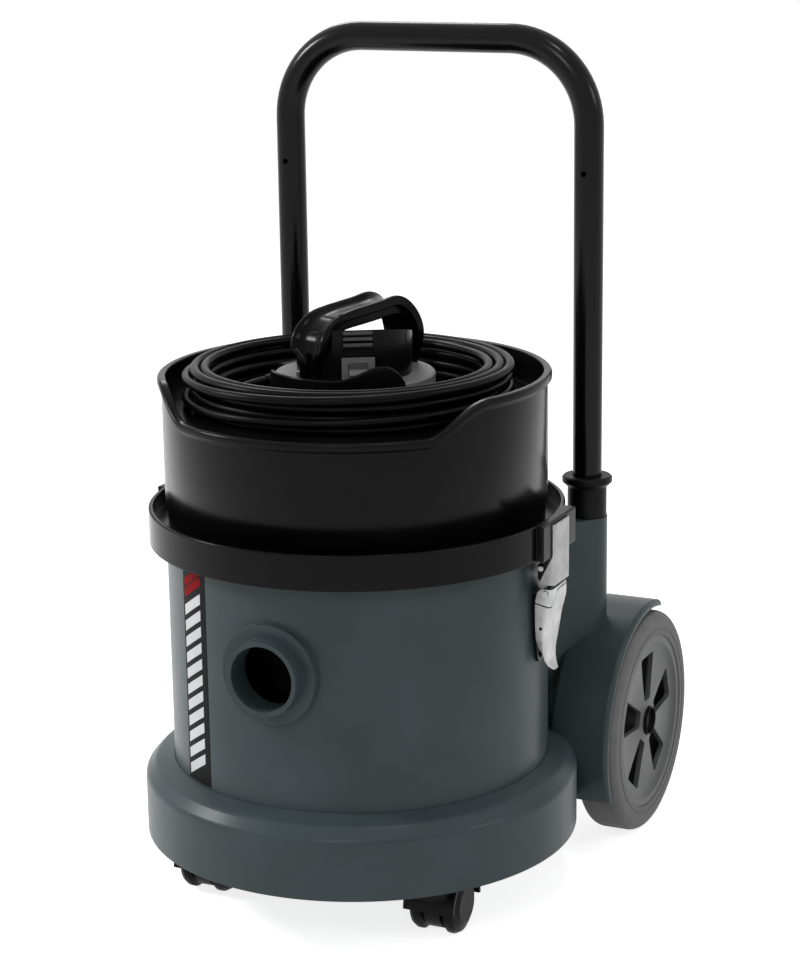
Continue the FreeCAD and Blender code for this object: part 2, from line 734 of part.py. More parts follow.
def make_castors():
    swivel = ("castor_x", "-castor_y", "0")
    plate = block("CastorPad", "castor_plate_side", "castor_plate_side", "castor_plate_height",
                  ("castor_x - 0.5 * castor_plate_side", "-castor_y - 0.5 * castor_plate_side",
                   "castor_plate_base"))
    stem = cylinder("CastorStem", "castor_stem_radius", "castor_plate_base - 1.7 * castor_wheel_radius",
                    ("castor_x", "-castor_y", "1.7 * castor_wheel_radius"))
    both_sides("castor_plate", fused("CastorPlate", [plate, stem]))
    head = turned("CastorHead", [
        ("castor_stem_radius + running_gap", "1.5 * castor_wheel_radius"),
        ("castor_head_radius", "1.5 * castor_wheel_radius"),
        ("castor_head_radius", "castor_plate_base - 2 * castor_plate_height"),
        ("castor_head_radius - castor_plate_height", "castor_plate_base - seat_gap"),
        ("castor_stem_radius + running_gap", "castor_plate_base - seat_gap")], swivel)
    axle_y = "castor_trail - castor_y"
    web = cylinder("CastorWeb", "castor_wheel_radius - castor_axle_radius", "castor_web",
                   ("castor_x - 0.5 * castor_web", axle_y, "castor_wheel_radius"), "X")
    shell = cylinder("HoodOutside", "castor_wheel_radius + castor_axle_radius + 2 * seat_gap",
                     "castor_pitch + castor_wheel_width",
                     ("castor_x - 0.5 * castor_pitch - 0.5 * castor_wheel_width", axle_y,
                      "castor_wheel_radius"), "X")
    wheel_space = "castor_wheel_radius + 2 * seat_gap"
    clear_right = cylinder("HoodRight", wheel_space, "castor_pitch",
                           ("castor_x + 0.5 * castor_web", axle_y, "castor_wheel_radius"), "X")
    clear_left = cylinder("HoodLeft", wheel_space, "castor_pitch",
                          ("castor_x - 0.5 * castor_web - castor_pitch", axle_y,
                           "castor_wheel_radius"), "X")
    low = block("HoodLow", "3 * castor_pitch", "4 * castor_wheel_radius", "2 * castor_wheel_radius",
                ("castor_x - 1.5 * castor_pitch", axle_y + " - 2 * castor_wheel_radius",
                 "-castor_wheel_radius"))
    roof = cut("HoodRoof", shell, [low])
    stem_space = cylinder("StemSpace", "castor_stem_radius + running_gap", "castor_plate_base",
                          ("castor_x", "-castor_y", "1.7 * castor_wheel_radius - seat_gap"))
    axle_space = cylinder("CastorAxleSpace", "castor_axle_radius", "castor_pitch",
                          ("castor_x - 0.5 * castor_pitch", axle_y, "castor_wheel_radius"), "X")
    hood = cut("CastorHood", fused("HoodSolid", [head, web, roof]),
               [clear_right, clear_left, stem_space, axle_space])
    both_sides("castor_hood", hood)
    axle_length = "castor_pitch + 0.5 * castor_wheel_width"
    axle = cylinder("CastorAxle", "castor_axle_radius", axle_length,
                    ("castor_x - 0.5 * castor_pitch - 0.25 * castor_wheel_width", axle_y,
                     "castor_wheel_radius"), "X")
    both_sides("castor_axle", axle)
    both_sides("castor_wheels", castor_wheel_pair(axle_y))


def castor_wheel_pair(axle_y):
    """two bulging wheels, each bored for the axle and closed at its outer face"""
    half = "0.5 * castor_wheel_width"
    corners = [
        ("castor_axle_radius + running_gap", "-" + half), ("0.75 * castor_wheel_radius", "-" + half),
        ("castor_wheel_radius", "-0.25 * castor_wheel_width"), ("castor_wheel_radius", "0"),
        ("0.92 * castor_wheel_radius", "0.25 * castor_wheel_width"), ("0.6 * castor_wheel_radius", half),
        ("0", half), ("0", "0.3 * castor_wheel_width"),
        ("castor_axle_radius + running_gap", "0.3 * castor_wheel_width")]
    inward = FreeCAD.Rotation(FreeCAD.Vector(0, 1, 0), -90)
    outer = turned("OuterWheel", corners, ("castor_x + 0.5 * castor_pitch", axle_y, "castor_wheel_radius"),
                   along_x)
    inner = turned("InnerWheel", corners, ("castor_x - 0.5 * castor_pitch", axle_y, "castor_wheel_radius"),
                   inward)
    pair = doc.addObject("Part::Compound", "CastorWheels")
    pair.Links = [outer, inner]
    return pair


# Ring round the bottom of the head, with a flat pad for the clamp at each side

def make_ring(screw_holes):
    body = turned("RingBody", [
        ("ring_bore", "ring_base"), ("ring_radius", "ring_base"), ("ring_radius", "ring_top"),
        ("ring_bore", "ring_top"), ("ring_bore", "deck_top"), ("deck_bore", "deck_top"),
        ("deck_bore", "deck_base"), ("ring_bore", "deck_base")])
    body = rounded("RoundedRing", body, "0.4 * ring_wall", ring_edge("ring_radius", "ring_top"))
    pad = block("PadBlock", "pad_face - drum_bore", "2 * pad_half_width", "ring_height",
                ("drum_bore", "clamp_behind - pad_half_width", "ring_base"))

    def face_corner(edge):
        box = edge.BoundBox
        return (abs(box.XMin - amount("pad_face")) < 0.01 and box.XLength < 0.01
                and (box.YLength < 0.01 or abs(box.ZMin - amount("ring_top")) < 0.01))
    pad = rounded("RoundedPad", pad, "0.4 * ring_wall", face_corner)
    space = cylinder("RingSpace", "ring_bore + 0.3 * ring_wall", "3 * ring_height", ("0", "0", "ring_base"))
    slot = block("TongueSlot", "pad_face", "2 * clamp_half_width + 4 * seat_gap",
                 "clamp_sheet + 2 * seat_gap",
                 ("pad_face - 2 * clamp_sheet - seat_gap", "clamp_behind - clamp_half_width - 2 * seat_gap",
                  "hook_top - 2 * clamp_sheet - seat_gap"))
    catch = cut("RightCatch", pad, [space, slot])
    solid = fused("RingWithCatches", [body, catch, mirrored("LeftCatch", catch)])
    subpart("lid_ring", cut("LidRing", solid, screw_holes))
    seal = turned("LidSeal", [
        ("drum_bore + 0.5 * drum_wall", "drum_top"), ("flange_radius", "drum_top"),
        ("flange_radius", "deck_base"), ("drum_bore + 0.5 * drum_wall", "deck_base")])
    subpart("lid_seal", seal)


# Head: an inset neck, the wall with its dipped rim, the rounded lip and the floor of the cable well

def make_head(bosses, screw_holes):
    wall = turned("HeadWall", [
        ("head_bore - head_inset", "deck_top"), ("head_radius - head_inset", "deck_top"),
        ("head_radius - head_inset", "ring_top"), ("head_radius", "ring_top + head_inset"),
        ("head_radius", "rim_top"), ("head_bore", "rim_top"), ("head_bore", "well_top"),
        ("0", "well_top"), ("0", "well_base"), ("head_bore", "well_base"),
        ("head_bore", "ring_top + head_inset"), ("head_bore - head_inset", "ring_top")])
    lip = turned("LipBand", [
        ("head_radius - 0.5 * head_wall", "dip_top - rim_band"),
        ("head_radius + rim_proud", "dip_top - rim_band"),
        ("head_radius + rim_proud", "rim_top"), ("head_radius - 0.5 * head_wall", "rim_top")])
    dip = dip_prism("Dip", "dip_top", "rim_top")
    low_dip = dip_prism("LowDip", "dip_top - rim_band", "rim_top - rim_band")
    under = cylinder("UnderLip", "head_radius + 2 * rim_proud", "rim_top - dip_top + rim_band",
                     ("0", "0", "dip_top - 2 * rim_band"))
    lip = cut("Lip", lip, [dip, cut("UnderLipInFront", under, [low_dip])])
    shell = fused("ShellWithBosses", [cut("DippedWall", wall, [dip]), lip] + bosses)
    subpart("head_shell", cut("HeadShell", shell, screw_holes))


def dip_prism(name, base, top):
    """the space over the rim's dip, between one ramp and the other"""
    turn = FreeCAD.Rotation(FreeCAD.Vector(0, 0, 1), amount("dip_turn"))
    outline = extruded(name + "Outline", "XZ_Plane", [
        ("-dip_half_bottom", base), ("dip_half_bottom", base), ("dip_half_top", top),
        ("dip_half_top", top + " + 2 * rim_band"), ("-dip_half_top", top + " + 2 * rim_band"),
        ("-dip_half_top", top)], "4 * head_radius", ("0", "0", "0"), turn)
    front = block(name + "Front", "4 * head_radius", "2 * head_radius", "2 * rim_top")
    front.Placement = turn_about_origin(turn, "-2 * head_radius", "-2 * head_radius")
    return common(name, [outline, front])


def turn_about_origin(turn, x, y):
    """the placement of a piece that is set off by (x, y) and then turned about the origin"""
    return FreeCAD.Placement(turn.multVec(FreeCAD.Vector(amount(x), amount(y), 0)), turn)


def turned_by(angle):
    return FreeCAD.Rotation(FreeCAD.Vector(0, 0, 1), amount(angle))


def on_circle(item, radius, count, number):
    """move a piece, keeping its height, to one of evenly spaced places round the axis"""
    bearing = 2 * math.pi * (number + 0.5) / count
    spot = FreeCAD.Vector(amount(radius) * math.cos(bearing), amount(radius) * math.sin(bearing),
                          item.Placement.Base.z)
    item.Placement = FreeCAD.Placement(spot, item.Placement.Rotation)
    return item


def make_head_screws():
    """the screws that hold ring, plate and head together, their holes and the bosses they enter"""
    count = int(amount("head_screw_count"))
    holes, screws, bosses = [], [], []
    for number in range(count):
        hole = cylinder(f"HeadScrewHole{number}", "small_screw_radius + screw_gap", "5 * deck_height")
        hole.Placement.Base.z = amount("deck_base - deck_height")
        holes.append(on_circle(hole, "head_screw_circle", count, number))
        body = screw(f"HeadScrew{number}", "small_screw_radius", "1.5 * small_screw_radius",
                     "0.6 * seal_height", "4 * deck_height", ("0", "0", "0"))
        body.Placement = FreeCAD.Placement(FreeCAD.Vector(0, 0, amount("deck_base")),
                                           FreeCAD.Rotation(FreeCAD.Vector(1, 0, 0), 180))
        screws.append(on_circle(body, "head_screw_circle", count, number))
        boss = cylinder(f"HeadBoss{number}", "2.5 * small_screw_radius", "5 * plate_height")
        boss.Placement.Base.z = amount("plate_top")
        bosses.append(on_circle(boss, "head_screw_circle", count, number))
    group = doc.addObject("Part::Compound", "HeadScrews")
    group.Links = screws
    subpart("head_screws", group)
    return holes, bosses


def make_base_plate(screw_holes):
    """the plate that closes the head, with the fan's intake in the middle"""
    plate = turned("PlateDisc", [
        ("intake_radius + seat_gap", "deck_top"), ("plate_radius", "deck_top"),
        ("plate_radius", "plate_top"), ("intake_radius + seat_gap", "plate_top")])
    subpart("head_base_plate", cut("BasePlate", plate, screw_holes))


# Toggle clamps: a riveted bracket and a folded lever on the drum, a hooked strap on the ring

def make_rivets():
    """two rivets for each clamp's bracket, and their holes on the right-hand side"""
    holes, rivets = [], []
    for number, drop in enumerate(("0.4 * lever_length", "0.8 * lever_length")):
        height = "clamp_pivot_z - " + drop
        holes.append(cylinder(f"RivetHole{number}", "small_screw_radius + screw_gap", "4 * drum_wall",
                              ("drum_bore - drum_wall", "clamp_behind", height), "X"))
        rivets.append(turned(f"Rivet{number}", [
            ("0", "-drum_wall - 2 * clamp_sheet"), ("small_screw_radius", "-drum_wall - 2 * clamp_sheet"),
            ("small_screw_radius", "0"), ("2 * small_screw_radius", "0"),
            ("small_screw_radius", "0.7 * clamp_sheet"), ("0", "0.7 * clamp_sheet")],
            ("clamp_back + clamp_sheet", "clamp_behind", height), along_x))
    right = doc.addObject("Part::Compound", "ClampRivetPair")
    right.Links = rivets
    group = doc.addObject("Part::Compound", "ClampRivets")
    group.Links = [right, mirrored("LeftClampRivets", right)]
    subpart("clamp_rivets", group)
    return holes


def make_clamps(rivet_holes):
    pivot = ("clamp_pivot_x", "clamp_behind", "clamp_pivot_z")
    both_sides("clamp_bracket", make_bracket(pivot, rivet_holes))
    pin = turned("ClampPin", pin_section(), pivot, along_y)
    pins = doc.addObject("Part::Compound", "ClampPins")
    pins.Links = [pin, mirrored("LeftClampPin", pin)]
    subpart("clamp_pins", pins)
    both_sides("clamp_lever", make_lever(pivot))
    side = "clamp_behind - clamp_half_width"
    strap = block("HookStrap", "clamp_sheet", "2 * clamp_half_width", "hook_top - hook_base",
                  ("hook_back", side, "hook_base"))
    tongue = block("HookTongue", "2 * clamp_sheet + seat_gap", "2 * clamp_half_width", "clamp_sheet",
                   ("hook_back - 2 * clamp_sheet", side, "hook_top - 2 * clamp_sheet"))
    both_sides("clamp_hook", fused("ClampHook", [strap, tongue]))


def make_bracket(pivot, rivet_holes):
    """a back plate on the drum with two ears, each rounded about the pivot so the lever swings clear"""
    back = block("BracketBack", "clamp_sheet", "2 * clamp_half_width - 4 * clamp_sheet", "lever_length",
                 ("clamp_back", "clamp_behind - clamp_half_width + 2 * clamp_sheet",
                  "clamp_pivot_z - lever_length - bracket_eye_radius"))
    eye, foot = "bracket_eye_radius", "-clamp_pivot_out + seat_gap"
    neck = extruded("BracketNeck", "XZ_Plane", [
        ("-0.5 * " + eye, "0.86 * " + eye), (foot, "-1.3 * " + eye), (foot, "-5 * " + eye),
        ("0.5 * " + eye, "-0.86 * " + eye)], "2 * clamp_half_width - 3 * clamp_sheet", pivot)
    disc = cylinder("BracketEye", eye, "2 * clamp_half_width - 3 * clamp_sheet",
                    ("clamp_pivot_x", "clamp_behind - clamp_half_width + 1.5 * clamp_sheet",
                     "clamp_pivot_z"), "Y")
    between = block("BracketMiddle", "2 * clamp_pivot_out", "2 * clamp_half_width - 7 * clamp_sheet",
                    "2 * lever_length", ("clamp_back", "clamp_behind - clamp_half_width + 3.5 * clamp_sheet",
                                         "clamp_pivot_z - lever_length"))
    ears = cut("BracketEars", fused("BracketNeckAndEye", [neck, disc]), [between])
    bore = cylinder("BracketBore", "clamp_pin_radius + running_gap", "3 * clamp_half_width",
                    ("clamp_pivot_x", "clamp_behind - 1.5 * clamp_half_width", "clamp_pivot_z"), "Y")
    return cut("ClampBracket", fused("Bracket", [back, ears]), [bore] + rivet_holes)


def pin_section():
    """half the section of a clamp's pin: a shank with a flat head at each end"""
    near, near_end = "-clamp_half_width - seat_gap", "-clamp_half_width - seat_gap - 0.7 * clamp_sheet"
    far, far_end = "clamp_half_width + seat_gap", "clamp_half_width + seat_gap + 0.7 * clamp_sheet"
    shank, head = "clamp_pin_radius", "1.5 * clamp_pin_radius"
    return [("0", near_end), (head, near_end), (head, near), (shank, near),
            (shank, far), (head, far), (head, far_end), ("0", far_end)]


def make_lever(pivot):
    """a folded channel: its face curves down from the pivot and its tail turns outwards"""
    face = [("0.8 * clamp_sheet", "0.085 * lever_length"), ("3 * clamp_sheet", "0.03 * lever_length"),
            ("3 * clamp_sheet", "-0.1 * lever_length"), ("0", "-0.45 * lever_length"),
            ("-1.5 * clamp_sheet", "-0.76 * lever_length"), ("-clamp_sheet", "-0.87 * lever_length"),
            ("clamp_sheet", "-0.86 * lever_length")]
    inside = [("2 * clamp_sheet", "-0.93 * lever_length"), ("-0.5 * clamp_sheet", "-0.97 * lever_length"),
              ("-3 * clamp_sheet", "-0.94 * lever_length"), ("-4 * clamp_sheet", "-0.76 * lever_length"),
              ("-4 * clamp_sheet", "-0.2 * lever_length"), ("-2.5 * clamp_sheet", "0.085 * lever_length")]
    solid = extruded("LeverSolid", "XZ_Plane", face + inside, "2 * clamp_half_width", pivot)
    hollow = extruded("LeverHollow", "XZ_Plane", [
        ("-5 * clamp_sheet", "0.2 * lever_length"), ("0.2 * clamp_sheet", "0.2 * lever_length"),
        ("2 * clamp_sheet", "0.03 * lever_length"), ("2 * clamp_sheet", "-0.1 * lever_length"),
        ("-clamp_sheet", "-0.45 * lever_length"), ("-2.5 * clamp_sheet", "-0.74 * lever_length"),
        ("-5 * clamp_sheet", "-0.74 * lever_length")],
        "2 * clamp_half_width - 2 * clamp_sheet", pivot)
    bore = cylinder("LeverBore", "clamp_pin_radius + running_gap", "3 * clamp_half_width",
                    ("clamp_pivot_x", "clamp_behind - 1.5 * clamp_half_width", "clamp_pivot_z"), "Y")
    return cut("ClampLever", solid, [hollow, bore])


# Turret in the cable well: a base, the cowl with its louvres, the switch and the carry handle

def make_turret(grip_holes):
    base = turned("TurretBase", [
        ("turret_radius - turret_wall", "well_top"), ("turret_radius", "well_top"),
        ("turret_radius", "turret_top - 0.5 * turret_wall"),
        ("turret_radius - 0.5 * turret_wall", "turret_top"),
        ("0", "turret_top"), ("0", "turret_top - turret_wall"),
        ("turret_radius - turret_wall", "turret_top - turret_wall")])
    subpart("turret_base", cut("DrilledTurretBase", base, grip_holes))
    turn = turned_by("cowl_turn")
    drum = cylinder("CowlDrum", "cowl_radius", "cowl_front_height", ("0", "0", "turret_top"))
    slope = extruded("CowlSlope", "YZ_Plane", [
        ("-cowl_radius", "cowl_top"), ("cowl_radius", "cowl_top - cowl_slope"),
        ("cowl_radius", "cowl_top + cowl_slope"), ("-cowl_radius", "cowl_top + cowl_slope")],
        "3 * cowl_radius", ("0", "0", "0"), turn)
    front = block("CowlFrontCut", "2 * cowl_radius", "cowl_radius", "3 * cowl_front_height")
    front.Placement = at_facet(turn, "-cowl_radius", "-cowl_facet - cowl_radius",
                               "turret_top - cowl_front_height")
    tools = [slope, front]
    for number in range(int(amount("louvre_count"))):
        louvre = block(f"Louvre{number}", "louvre_width", "2 * louvre_depth", "louvre_height")
        height = "panel_base + panel_height + louvre_height" + " + louvre_pitch" * number
        louvre.Placement = at_facet(turn, "-0.5 * louvre_width", "-cowl_facet - louvre_depth", height)
        tools.append(louvre)
    pocket = block("RockerPocket", "rocker_width + 4 * rocker_gap", "rocker_height + rocker_gap",
                   "rocker_height + 4 * rocker_gap")
    pocket.Placement = at_facet(turn, "-0.5 * rocker_width - 2 * rocker_gap", "-cowl_facet",
                                "rocker_base - 2 * rocker_gap")
    subpart("turret_cowl", cut("Cowl", drum, tools + [pocket]))
    panel = block("PanelPlate", "panel_width", "panel_thickness", "panel_height")
    panel.Placement = at_facet(turn, "-0.5 * panel_width", "-cowl_facet - panel_thickness", "panel_base")
    opening = block("PanelOpening", "rocker_width + 2 * rocker_gap", "4 * panel_thickness",
                    "rocker_height + 2 * rocker_gap")
    opening.Placement = at_facet(turn, "-0.5 * rocker_width - rocker_gap",
                                 "-cowl_facet - 2 * panel_thickness", "rocker_base - rocker_gap")
    subpart("switch_panel", cut("SwitchPanel", panel, [opening]))
    make_rocker(turn)


def at_facet(turn, x, y, z):
    """a placement in the cowl's own frame, whose flat facet faces its -Y"""
    spot = turn.multVec(FreeCAD.Vector(amount(x), amount(y), amount(z)))
    return FreeCAD.Placement(spot, turn)


def make_rocker(turn):
    """the rocker: dished in front and rounded at the back, on two small trunnions"""
    body = extruded("RockerBody", "YZ_Plane", [
        ("-panel_thickness - 0.25 * rocker_height", "0"), ("-panel_thickness", "0.5 * rocker_height"),
        ("-panel_thickness - 0.25 * rocker_height", "rocker_height"),
        ("0.15 * rocker_height", "0.95 * rocker_height"), ("0.6 * rocker_height", "0.5 * rocker_height"),
        ("0.15 * rocker_height", "0.05 * rocker_height")], "rocker_width")
    body.Placement = at_facet(turn, "0", "-cowl_facet", "rocker_base")
    trunnion = cylinder("RockerTrunnion", "0.12 * rocker_height", "rocker_width + 3.4 * rocker_gap")
    trunnion.Placement = FreeCAD.Placement(
        at_facet(turn, "-0.5 * rocker_width - 1.7 * rocker_gap", "-cowl_facet + 0.2 * rocker_height",
                 "rocker_base + 0.5 * rocker_height").Base, turn.multiply(along_x))
    subpart("switch_rocker", fused("Rocker", [body, trunnion]))


def make_carry_handle():
    """a broad moulded grip over the turret, with a foot at each end and a saddle in its top"""
    top = [(-1.0, 0), (-1.03, 0.2), (-1.02, 0.47), (-0.92, 0.72), (-0.77, 0.85), (-0.33, 0.94),
           (0.17, 1.0), (0.42, 0.86), (0.6, 0.88), (0.82, 0.9), (1.0, 0.8), (1.1, 0.62),
           (1.22, 0.39), (1.17, 0.2), (1.1, 0)]
    underside = [(0.93, 0), (0.97, 0.2), (1.0, 0.38), (0.92, 0.58), (0.78, 0.71), (0.6, 0.73),
                 (0.37, 0.7), (0.08, 0.8), (-0.33, 0.78), (-0.67, 0.69), (-0.82, 0.54),
                 (-0.85, 0.38), (-0.83, 0)]
    corners = []
    for along, up in top + underside:
        sign = "-" if along < 0 else ""
        height = "0" if up == 0 else f"{up} * grip_height"
        corners.append((f"{sign}{abs(along)} * grip_reach", height))
    turn = turned_by("grip_turn")
    grip = extruded("Grip", "XZ_Plane", corners, "2 * grip_half_width", ("0", "0", "turret_top"), turn)
    across = turn.multVec(FreeCAD.Vector(0, 1, 0))

    def bend(edge):
        heading = edge.tangentAt(edge.FirstParameter)
        return (abs(heading.dot(across)) > 0.99
                and edge.BoundBox.ZMin > amount("turret_top + small_screw_radius"))
    grip = rounded("RoundedGrip", grip, "grip_bend", bend)
    holes, screws = [], []
    for number, along in enumerate(("-0.915 * grip_reach", "0.99 * grip_reach")):
        spot = turn.multVec(FreeCAD.Vector(amount(along), 0, 0))
        hole = cylinder(f"GripScrewHole{number}", "small_screw_radius + screw_gap",
                        "6 * small_screw_radius")
        hole.Placement.Base = FreeCAD.Vector(spot.x, spot.y, amount("turret_top - 1.5 * turret_wall"))
        holes.append(hole)
        body = screw(f"GripScrew{number}", "small_screw_radius", "2 * small_screw_radius",
                     "small_screw_radius", "5 * small_screw_radius", ("0", "0", "0"))
        body.Placement = FreeCAD.Placement(
            FreeCAD.Vector(spot.x, spot.y, amount("turret_top - turret_wall")),
            FreeCAD.Rotation(FreeCAD.Vector(1, 0, 0), 180))
        screws.append(body)
    subpart("carry_handle", cut("CarryHandle", grip, holes))
    group = doc.addObject("Part::Compound", "GripScrews")
    group.Links = screws
    subpart("carry_handle_screws", group)
    return holes


# Mains cable: its coil, the lead to the gland, the tail to the plug, and the plug

coil_layers = 4
turns_a_layer = 3
coil_end_turn = 175.0
run_in_turn = 60.0


def coil_point(turn):
    """the coil's centre line at a number of degrees from its lower end"""
    layer_turn = 360.0 * turns_a_layer
    last = layer_turn * coil_layers - coil_end_turn
    phase = turn % (2 * layer_turn)
    outwards = min(phase, 2 * layer_turn - phase)
    radius = amount("coil_start") + amount("coil_pitch") * outwards / 360.0
    from_end = min(turn, last - turn)
    if from_end < run_in_turn:
        radius -= amount("coil_run_in") * (1 - from_end / run_in_turn) ** 2
    height = amount("coil_base")
    for layer in range(1, coil_layers):
        climbed = (turn - layer_turn * layer + 90.0) / 180.0
        height += amount("layer_pitch") * min(max(climbed, 0.0), 1.0)
    bearing = math.radians(amount("coil_turn") + turn)
    return FreeCAD.Vector(amount("coil_x") + radius * math.cos(bearing),
                          amount("coil_y") + radius * math.sin(bearing), height)


def coil_heading(turn):
    """the level direction of the coil's centre line, taken over a short stretch"""
    stretch = 4.0
    last = 360.0 * turns_a_layer * coil_layers - coil_end_turn
    before = coil_point(max(turn - stretch, 0.0))
    after = coil_point(min(turn + stretch, last))
    heading = after - before
    heading.z = 0.0
    return heading.normalize()


def arc_edge(start, corner, end):
    """the arc that touches start-corner at start and corner-end at end, both legs being equal"""
    middle = (start + end) * 0.5
    rise = (corner - middle).Length
    half_chord = (end - start).Length * 0.5
    sagitta = half_chord * math.tan(math.atan2(rise, half_chord) * 0.5)
    top = middle + (corner - middle) * (sagitta / rise)
    return Part.Arc(start, top, end).toShape()


def biarc(start, heading, end, end_heading):
    """two arcs that join two points and keep the heading at each"""
    span = end - start
    both = heading + end_heading
    spread = 2.0 * (1.0 - heading.dot(end_heading))
    lean = span.dot(both)
    leg = (math.sqrt(lean * lean + spread * span.dot(span)) - lean) / spread
    first = start + heading * leg
    second = end - end_heading * leg
    meet = (first + second) * 0.5
    return [arc_edge(start, first, meet), arc_edge(meet, second, end)]


def tube_on(edges, radius):
    """a round tube along the edges, and its length"""
    path = Part.Wire(edges)
    start = edges[0].firstVertex().Point
    heading = edges[0].tangentAt(edges[0].FirstParameter)
    section = Part.Wire(Part.makeCircle(radius, start, heading))
    shell = Part.BRepOffsetAPI.MakePipeShell(path)
    shell.add(section)
    shell.build()
    shell.makeSolid()
    return shell.shape(), path.Length


def make_coil():
    """every loop of the coil as one tube: four layers that spiral out, in, out and in again"""
    last = 360.0 * turns_a_layer * coil_layers - coil_end_turn
    nodes = [0.0, 90.0]
    while nodes[-1] + 180.0 < last:
        nodes.append(nodes[-1] + 180.0)
    nodes.append(last)
    edges = []
    straight = amount("2 * cable_radius")
    start, end = coil_point(0.0), coil_point(last)
    edges.append(Part.makeLine(start - coil_heading(0.0) * straight, start))
    for first, second in zip(nodes, nodes[1:]):
        edges += biarc(coil_point(first), coil_heading(first), coil_point(second), coil_heading(second))
    edges.append(Part.makeLine(end, end + coil_heading(last) * straight))
    tube, length = tube_on(edges, amount("cable_radius"))
    item = doc.addObject("Part::Feature", "CableCoil")
    item.Shape = tube
    subpart("mains_cable_coil", item)
    print("coil: length", round(length), "mm, gap between turns",
          round(least_gap(edges) - straight, 2), "mm")
    print("coil ends", edges[0].firstVertex().Point, edges[-1].lastVertex().Point,
          "headings", coil_heading(0.0), coil_heading(last))


def least_gap(edges):
    """the least distance between points of the centre line that lie over half a turn apart"""
    points = []
    spacing = 6.0
    for edge in edges:
        points += edge.discretize(max(3, int(edge.Length / spacing)))[:-1]
    apart = int(amount("coil_start") * math.pi / spacing)
    least = amount("coil_start")
    for number, point in enumerate(points):
        for other in points[number + apart:]:
            least = min(least, (other - point).Length)
    return least


# The routes of the cable's two free stretches: the lead from the coil's upper end to the gland
# and the tail from its lower end to the plug
lead_route = [
    (44.26, 96.27, 453.8), (29.8, 103.2, 453.8), (11.5, 103.6, 454.2), (-5.4, 97.0, 454.8),
    (-18.8, 85.0, 455.4), (-25.8, 70.6, 456.0), (-27.75, 56.7, 456.0)]
tail_route = [
    (-70.02, -83.44, 427.4), (-82.3, -73.2, 427.4), (-90.4, -56.9, 428.0), (-93.4, -35.1, 431.0),
    (-91.0, -17.1, 433.5), (-85.16, 1.97, 433.5)]
plug_spot = (-72.0, 45.0)
plug_turn = 73.0


def cord_tube(name, label, route, radius):
    """a cord along straight runs joined by arcs as large as the runs allow"""
    points = [FreeCAD.Vector(*point) for point in route]
    runs = [(second - first).Length for first, second in zip(points, points[1:])]
    edges, radii = [], []
    here = points[0]
    for number in range(1, len(points) - 1):
        before = (points[number] - points[number - 1]).normalize()
        after = (points[number + 1] - points[number]).normalize()
        leg = 0.45 * min(runs[number - 1], runs[number])
        start, end = points[number] - before * leg, points[number] + after * leg
        edges.append(Part.makeLine(here, start))
        edges.append(arc_edge(start, points[number], end))
        radii.append(round(leg / math.tan(before.getAngle(after) / 2), 1))
        here = end
    edges.append(Part.makeLine(here, points[-1]))
    tube, length = tube_on(edges, radius)
    item = doc.addObject("Part::Feature", name)
    item.Shape = tube
    subpart(label, item)
    section = math.pi * radius ** 2
    print(label, "length", round(length, 1), "mm, radii", radii,
          "mm, volume over section times length", round(tube.Volume / (section * length), 4))


def make_gland():
    """the tapered strain relief where the lead goes into the back of the cowl"""
    level = turned_by("gland_bearing")
    taper = cone("GlandTaper", "gland_end_radius", "gland_radius", "gland_length",
                 ("-gland_aside", "cowl_radius + gland_out", "turret_top + gland_rise"),
                 level.multiply(along_x))
    room = cylinder("CowlRoom", "cowl_radius", "cowl_top", ("0", "0", "0"))
    subpart("cable_gland", cut("CableGland", taper, [room]))


def make_plug():
    """a moulded plug lying in the well, with two flat blades, a round pin and its relief"""
    turn = FreeCAD.Rotation(FreeCAD.Vector(0, 0, 1), plug_turn)
    spot = FreeCAD.Vector(*plug_spot, amount("well_top + 0.5 * plug_height"))
    body = block("PlugBody", "plug_length", "plug_width", "plug_height")
    body.Placement = FreeCAD.Placement(
        spot + turn.multVec(FreeCAD.Vector(amount("-0.5 * plug_length"), amount("-0.5 * plug_width"),
                                           amount("-0.5 * plug_height"))), turn)

    def long_edge(edge):
        heading = edge.tangentAt(edge.FirstParameter)
        return abs(heading.dot(turn.multVec(FreeCAD.Vector(1, 0, 0)))) > 0.99
    body = rounded("PlugRounded", body, "0.3 * plug_height", long_edge)
    relief = cone("PlugRelief", "1.6 * cable_radius", "1.15 * cable_radius", "plug_relief_length")
    back = turn.multVec(FreeCAD.Vector(-1, 0, 0))
    relief.Placement = FreeCAD.Placement(
        spot + back * amount("0.5 * plug_length"), FreeCAD.Rotation(FreeCAD.Vector(0, 0, 1), back))
    pieces = [body, relief]
    blade = ("plug_blade_rise", "plug_blade_thickness", "plug_blade_height")
    for name, across, (up, width, height) in (
            ("LeftBlade", "-0.5 * plug_blade_spacing", blade),
            ("RightBlade", "0.5 * plug_blade_spacing", blade),
            ("EarthPin", "0", ("-plug_earth_drop", "plug_earth_width", "plug_earth_width"))):
        pin = block(name, "plug_pin_length", width, height)
        corner = FreeCAD.Vector(amount("0.5 * plug_length"), amount(f"{across} - 0.5 * {width}"),
                                amount(f"{up} - 0.5 * {height}"))
        pin.Placement = FreeCAD.Placement(spot + turn.multVec(corner), turn)
        pieces.append(pin)
    subpart("mains_plug", fused("MainsPlug", pieces))


# Motor and fan inside the head, and the filters below it

